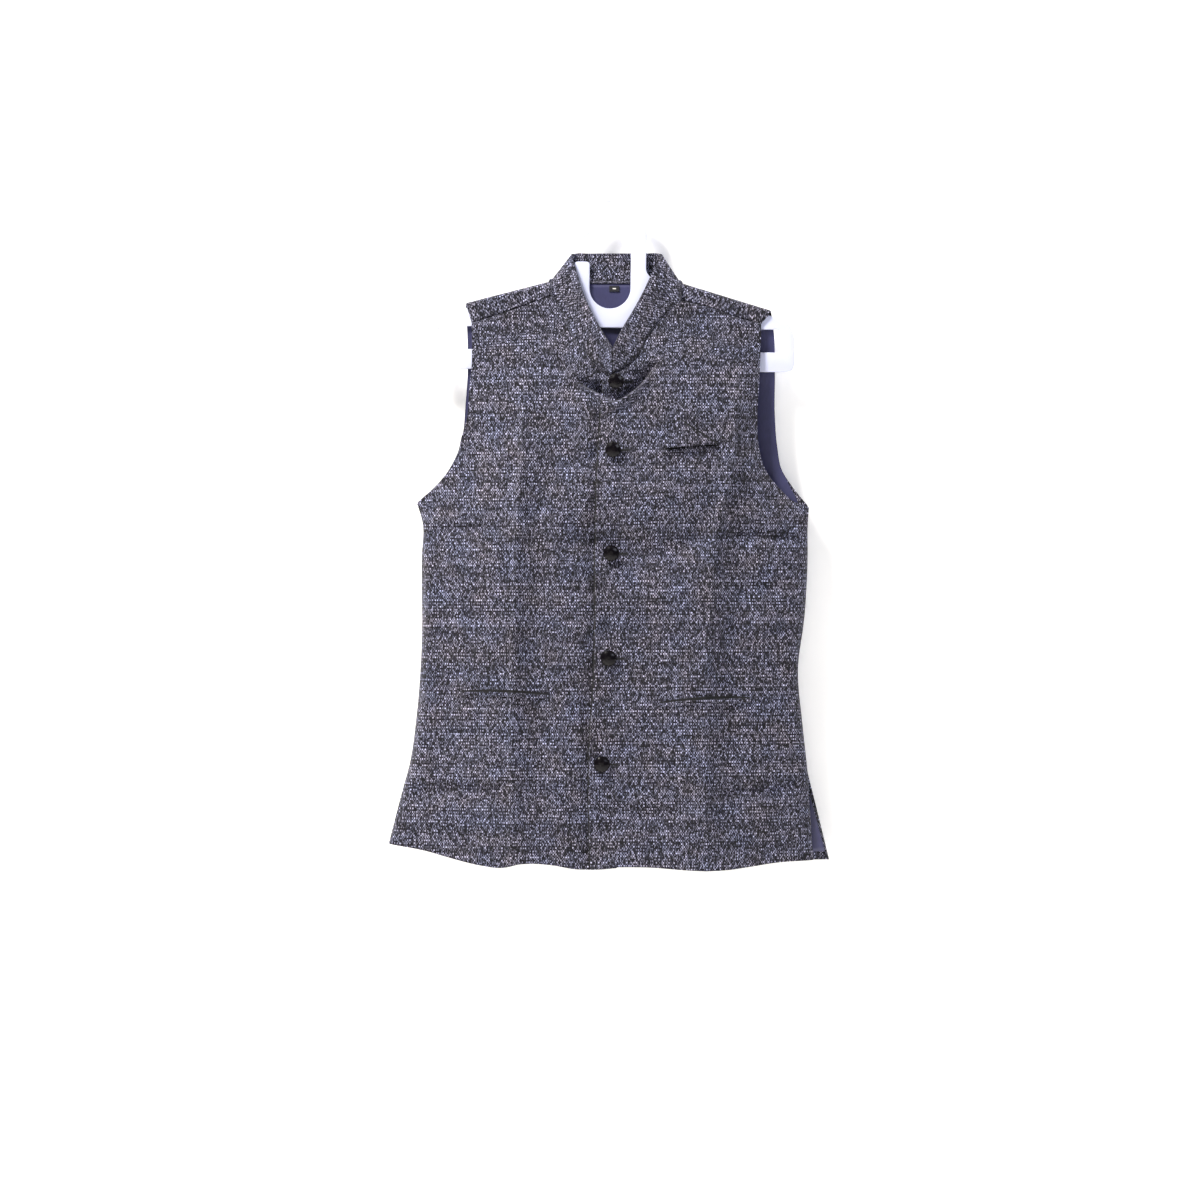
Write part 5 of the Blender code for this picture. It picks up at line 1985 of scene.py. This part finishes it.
@dataclass
class Stitching:
    """The sewing that shows: edge stitches, and the worked buttonholes, their slits filled with near-black
    painted shade.
    """

    edge_spacing: float = 3.6
    edge_length: float = 2.3
    edge_thickness: float = 0.42
    edge_inset: float = 5.0
    hole_spacing: float = 0.72
    hole_stitch: float = 2.1
    hole_thickness: float = 0.5
    hole_start: float = 5.0
    hole_end: float = 19.5
    hole_half: float = 1.5
    slit_half: float = 0.95
    eyelet: float = 1.5
    eyelet_at: float = 0.86
    eyelet_width: float = 0.1
    slit_lift: float = 0.35
    slit_wall: float = 0.15
    hole_lift: float = 0.3
    hole_drop: float = 0.6
    closing_start: float = 252.0
    closing_end: float = 790.0
    closing_points: int = 200
    armhole_points: int = 90

    def sizes(self, spacing: float, length: float, thickness: float, turn: float, finishes: Finishes) -> dict:
        """Values for the tree's inputs, from millimetres and degrees."""
        return {
            StitchInput.SPACING: spacing * MM,
            StitchInput.LENGTH: length * MM,
            StitchInput.THICKNESS: thickness * MM,
            StitchInput.TURN: math.radians(turn),
            StitchInput.SEED: 7,
            StitchInput.THREAD: finishes[Finish.THREAD],
        }

    def armhole(self, edge: SeamEdge, start: float, end: float) -> Array:
        """Places along an armhole, inside its edge.

        Args:
            edge: The edge.
            start: Drop of the upper end.
            end: Drop of the lower end.

        Returns:
            An array of (x, drop).
        """
        drop = np.linspace(start, end, self.armhole_points)
        x = edge.measure("x", drop)
        slope = np.gradient(x, drop)
        run_in = self.edge_inset / np.sqrt(1 + slope**2)
        return np.stack([x - np.sign(x) * run_in, drop + np.sign(x) * run_in * slope], axis=-1)

    def edges(self, finishes: Finishes) -> list[tuple[Array, Array]]:
        """Paths of the edge stitching."""
        drop = np.linspace(self.closing_start, self.closing_end, self.closing_points)
        closing = np.stack([run(LEFT_CLOSING, "x")(drop) + self.edge_inset, drop], axis=-1)
        paths = [on_surface(FORM.front, closing)]
        for edge, start, end in ((FRONT_RIGHT_EDGE, 150.0, 348.0), (FRONT_LEFT_EDGE, 152.0, 352.0)):
            paths.append(on_surface(FORM.front, self.armhole(edge, start, end)))
        for edge, start, end in ((BACK_RIGHT_EDGE, 140.0, 348.0), (BACK_LEFT_EDGE, 148.0, 352.0)):
            paths.append(on_surface(FORM.back, self.armhole(edge, start, end), facing=1))
        return paths

    def hole_path(self, button: Place) -> Array:
        """U-shaped line round one buttonhole, open under the button.

        Args:
            button: The button's place.

        Returns:
            An array of (x, drop).
        """
        drop = button.drop + self.hole_drop
        turn = np.radians(np.linspace(90, -90, 9))
        end = button.x + self.hole_end
        arc = np.stack([end + self.hole_half * np.cos(turn), drop - self.hole_half * np.sin(turn)], axis=-1)
        first = np.array([[button.x + self.hole_start, drop - self.hole_half]])
        last = np.array([[button.x + self.hole_start, drop + self.hole_half]])
        return np.concatenate([first, arc, last])

    def slit(self, button: Place, finishes: Finishes) -> bpy.types.Object:
        """The keyhole slit of one buttonhole, as a near-black sheet of painted shade.

        Args:
            button: The button's place.
            finishes: The materials.

        Returns:
            The sheet of painted shade.
        """
        share = np.linspace(0, 1, 30)
        x = button.x + self.hole_start + share * (self.hole_end - self.hole_start)
        half = self.slit_half * (
            1 + (self.eyelet - 1) * np.exp(-(((share - self.eyelet_at) / self.eyelet_width) ** 2))
        )
        half = half * np.sqrt(np.clip(1 - share**12, 0.02, 1))
        level = np.linspace(-1, 1, 5)[:, None]
        cut = np.stack(
            np.broadcast_arrays(x[None], button.drop + self.hole_drop + half[None] * level), axis=-1
        )
        return patch("slit", FORM.front, cut, self.slit_lift, self.slit_wall, finishes[Finish.POCKETING])

    def build(self, finishes: Finishes) -> None:
        """Sew everything."""
        tree = StitchTree()
        line = self.sizes(self.edge_spacing, self.edge_length, self.edge_thickness, 0.0, finishes)
        settle(tree.sew("edge_stitching", self.edges(finishes), line), Finish.TWEED)
        worked = self.sizes(self.hole_spacing, self.hole_stitch, self.hole_thickness, 90.0, finishes)
        holes = [self.hole_path(button) for button in BUTTON_PLACES]
        paths = [on_surface(FORM.front, hole, lift=self.hole_lift) for hole in holes]
        settle(tree.sew("buttonhole_stitching", paths, worked), Finish.TWEED)
        for number, button in enumerate(BUTTON_PLACES, 1):
            # Each slit is a near-black sheet: painted shade in the buttonhole's opening.
            slit = self.slit(button, finishes)
            slit.name = f"buttonhole_slit_{number}"
            settle(slit, Finish.LINING)


# ---- hanger


@dataclass
class PlateHanger:
    """The flat plate hanger: hook, eye, shoulders, slot and trouser bar."""

    tilt: float = 0.65
    thickness: float = 4.0
    bevel: float = 0.8
    eye_radius: float = 24.6
    eye_bottom: float = 128.0
    band: float = 18.5
    tip_drop: float = 34.0
    arm_top: float = 72.0
    arm_foot: float = 84.0
    foot: Place = Place(56.0, 98.0)
    shoulder_start: Place = Place(78.0, 104.0)
    shoulder_end: Place = Place(203.0, 137.5)
    plate_low: float = 151.0
    bar_top: float = 178.5
    bar_low: float = 202.0
    bar_end: float = 222.0
    end_link: float = 17.0
    corner: float = 5.0
    corner_steps: int = 6
    least_corner: float = 1.5
    arc_points: int = 33
    end_curve: tuple[Place, ...] = (Place(6.0, 146.0), Place(0.0, 160.0))
    end_corner: tuple[Place, ...] = (Place(0.0, 8.0), Place(3.0, 2.0), Place(10.0, 0.0))

    def arc(self, x: float, z: float, radius: float, start: float, end: float) -> list[tuple[float, float]]:
        """Points of an arc in the plate's plane, in degrees from +X towards +Z."""
        angles = np.radians(np.linspace(start, end, self.arc_points))
        return [(x + radius * math.cos(a), z + radius * math.sin(a)) for a in angles]

    def end(self, side: Side) -> list[tuple[float, float]]:
        """One end of the plate, from the shoulder down to the bar's lower edge."""
        places = [self.shoulder_end] + [Place(self.bar_end - at.x, at.drop) for at in self.end_curve]
        places += [Place(self.bar_end - at.x, self.bar_low - at.drop) for at in self.end_corner]
        return [(side.value * place.x, -place.drop) for place in places]

    def outline(self) -> list[tuple[float, float]]:
        """Outer outline, anticlockwise from the hook's tip."""
        out, eye = self.eye_radius + self.band, self.eye_radius
        points = self.arc(-eye - self.band / 2, -self.tip_drop, self.band / 2, 180, 360)
        points += self.arc(0, -eye, eye, 180, 0)
        points += self.arc(0, eye - self.eye_bottom, eye, 0, -180)
        points += [(-eye, -self.arm_top), (-out, -self.arm_top), (-out, -self.arm_foot)]
        points += [(-self.foot.x, -self.foot.drop), (-self.shoulder_start.x, -self.shoulder_start.drop)]
        points += self.end(Side.RIGHT)
        points += self.end(Side.LEFT)[::-1]
        points += [(self.shoulder_start.x, -self.shoulder_start.drop), (self.foot.x, -self.foot.drop)]
        points += [(out, -self.arm_foot)]
        points += self.arc(0, -eye, out, 0, 180)
        return points

    def slot(self) -> list[tuple[float, float]]:
        """Slot between the shoulder plate and the trouser bar."""
        end = self.bar_end - self.end_link
        return [(-end, -self.plate_low), (end, -self.plate_low), (end, -self.bar_top), (-end, -self.bar_top)]

    def rounded(self, points: list[tuple[float, float]]) -> list[tuple[float, float]]:
        """The outline with its corners rounded, each by a small parabola.

        Args:
            points: The outline.

        Returns:
            Its points, with a few for each corner.
        """
        made = []
        for i, point in enumerate(points):
            here = np.array(point)
            before, after = np.array(points[i - 1]), np.array(points[(i + 1) % len(points)])
            sides = [side - here for side in (before, after)]
            lengths = [float(np.hypot(*side)) for side in sides]
            if min(lengths) < 1e-6:
                continue
            cut = min(self.corner, 0.45 * min(lengths))
            first, last = [here + side / length * cut for side, length in zip(sides, lengths)]
            steps = self.corner_steps if cut > self.least_corner else 2
            for t in np.linspace(0, 1, steps):
                made.append(tuple((1 - t) ** 2 * first + 2 * t * (1 - t) * here + t * t * last))
        return made

    def build(self, finishes: Finishes) -> None:
        """Make the plate and put it in place."""
        curve = bpy.data.curves.new("hanger_outline", "CURVE")
        curve.dimensions = "2D"
        curve.fill_mode = "BOTH"
        curve.extrude = (self.thickness / 2 - self.bevel) * MM
        curve.bevel_depth = self.bevel * MM
        curve.bevel_resolution = 3
        curve.offset = -self.bevel * MM
        for points in (self.rounded(self.outline()), self.rounded(self.slot())):
            spline = curve.splines.new("POLY")
            spline.points.add(len(points) - 1)
            for corner, (x, z) in zip(spline.points, points):
                corner.co = (x * MM, z * MM, 0.0, 1.0)
            spline.use_cyclic_u = True
        drawn = link("hanger_outline", curve)
        mesh = bpy.data.meshes.new_from_object(drawn.evaluated_get(bpy.context.evaluated_depsgraph_get()))
        bpy.data.objects.remove(drawn)
        tilt = math.radians(self.tilt)
        for vertex in mesh.vertices:
            x, z, y = vertex.co
            vertex.co = (
                x * math.cos(tilt) + z * math.sin(tilt),
                -y,
                z * math.cos(tilt) - x * math.sin(tilt),
            )
        bm = bmesh.new()
        bm.from_mesh(mesh)
        bmesh.ops.remove_doubles(bm, verts=bm.verts, dist=1e-6)
        bmesh.ops.recalc_face_normals(bm, faces=bm.faces)
        bm.to_mesh(mesh)
        bm.free()
        mesh.materials.clear()
        mesh.materials.append(finishes[Finish.HANGER])
        mesh.shade_smooth()
        mesh.set_sharp_from_angle(angle=math.radians(30))
        settle(link("hanger_plate", mesh), Finish.HANGER, "hanger")


# ---- studio


@dataclass(frozen=True)
class AreaLamp:
    """A soft square light that looks at one place."""

    name: str
    place: tuple[float, float, float]
    aim: tuple[float, float, float]
    side: float
    watts: float
    tone: str

    def build(self) -> None:
        """Hang the light."""
        lamp = bpy.data.lights.new(self.name, "AREA")
        lamp.shape = "SQUARE"
        lamp.size = self.side
        lamp.energy = self.watts
        lamp.color = linear(self.tone)[:3]
        hung = bpy.data.objects.new(self.name, lamp)
        bpy.context.scene.collection.objects.link(hung)
        hung.location = self.place
        hung.rotation_euler = (Vector(self.aim) - Vector(self.place)).to_track_quat("-Z", "Y").to_euler()


@dataclass
class Studio:
    """Pale wall and floor, soft light, and a level camera in front."""

    lens: float = 100.0
    distance: float = 4.0
    aim: tuple[float, float] = (-0.0132, -0.4776)
    wall_gap: float = 0.018
    wall_half: float = 4.0
    wall_top: float = 2.6
    floor_level: float = -1.25
    depth: float = 5.0
    sky: float = 0.08
    wall_glow: float = 0.3
    sensor: float = 36.0
    lamps: tuple[AreaLamp, ...] = (
        AreaLamp("key", (-1.25, -1.15, 1.7), (0.0, 0.0, -0.4), 0.6, 130.0, "#FFFCF8"),
        AreaLamp("fill", (1.9, -2.0, 1.4), (0.0, 0.0, -0.35), 1.2, 28.0, "#E9EEFF"),
        AreaLamp("low_fill", (-0.4, -2.8, -0.8), (0.0, 0.0, -0.6), 1.2, 4.0, "#FFF7EE"),
        AreaLamp("behind", (-1.0, 2.0, 1.9), (0.0, 0.0, -0.45), 1.2, 80.0, "#FFFFFF"),
    )

    def screen(
        self, name: str, corners: Sequence[tuple[float, float, float]], paint: MattPaint
    ) -> bpy.types.Object:
        """One flat painted screen from its corners.

        Args:
            name: Its name.
            corners: Its corners, in order.
            paint: Its paint.

        Returns:
            The screen.
        """
        mesh = bpy.data.meshes.new(name)
        mesh.from_pydata(list(corners), [], [tuple(range(len(corners)))])
        mesh.materials.append(paint.material())
        return link(name, mesh)

    def build(self) -> None:
        """Set up the wall, the floor, the light and the camera."""
        wall_y = CAD_BOX[1][1] + self.wall_gap
        w, top, low = self.wall_half, self.wall_top, self.floor_level
        wall = self.screen(
            "studio_wall",
            [(-w, wall_y, low), (w, wall_y, low), (w, wall_y, top), (-w, wall_y, top)],
            MattPaint("wall_emulsion", glow=self.wall_glow, see_through_back=True),
        )
        wall.visible_shadow = False
        floor = self.screen(
            "studio_floor",
            [(-w, -self.depth, low), (w, -self.depth, low), (w, self.depth, low), (-w, self.depth, low)],
            MattPaint("floor_emulsion"),
        )
        for lamp in self.lamps:
            lamp.build()
        world = bpy.data.worlds.new("studio_air")
        world.use_nodes = True
        back = world.node_tree.nodes["Background"]
        back.inputs["Color"].default_value = linear("#FBFBFF")
        back.inputs["Strength"].default_value = self.sky
        bpy.context.scene.world = world
        bpy.context.scene.view_settings.view_transform = "Standard"
        # The guides of the noise filter stay as sharp as the weave, or it would smear single flecks.
        bpy.context.scene.cycles.denoising_prefilter = "NONE"
        camera = bpy.data.cameras.new("camera")
        camera.lens = self.lens
        camera.sensor_width = self.sensor
        stand = bpy.data.objects.new("camera", camera)
        bpy.context.scene.collection.objects.link(stand)
        stand.location = (self.aim[0], -self.distance, self.aim[1])
        stand.rotation_euler = (math.radians(90), 0.0, 0.0)
        bpy.context.scene.camera = stand


# ---- the object


def main() -> None:
    """Build the jacket on its hanger, then the studio round it."""
    logging.basicConfig(level=logging.INFO, format="%(message)s")
    finishes = Finishes()
    PlateHanger().build(finishes)
    Front(
        name="front_right",
        edge=FRONT_RIGHT_EDGE,
        seam=RIGHT_SHOULDER_SEAM,
        neckline=RIGHT_NECKLINE,
        hem=RIGHT_HEM,
        closing=RIGHT_CLOSING,
        split=0.50,
        flat=(0.285, 0.695),
        area=0.165,
        under=True,
    ).build(finishes)
    Front(
        name="front_left",
        edge=FRONT_LEFT_EDGE,
        seam=LEFT_SHOULDER_SEAM,
        neckline=LEFT_NECKLINE,
        hem=LEFT_HEM,
        closing=LEFT_CLOSING,
        split=0.46,
        flat=(0.29, 0.695),
        area=0.172,
        under=False,
    ).build(finishes)
    back = Back()
    back.build(finishes)
    back.build_lining(finishes)
    Collar().build(finishes)
    for node, opening in POCKETS.items():
        PocketEdge(node, opening).build(finishes)
    PocketSquare().build(finishes)
    ClosingFacing().build(finishes)
    NeckLabel().build(finishes)
    for number in range(1, len(BUTTON_PLACES) + 1):
        CutButton(number).build(finishes)
    Stitching().build(finishes)
    Studio().build()


if __name__ == "__main__":
    main()
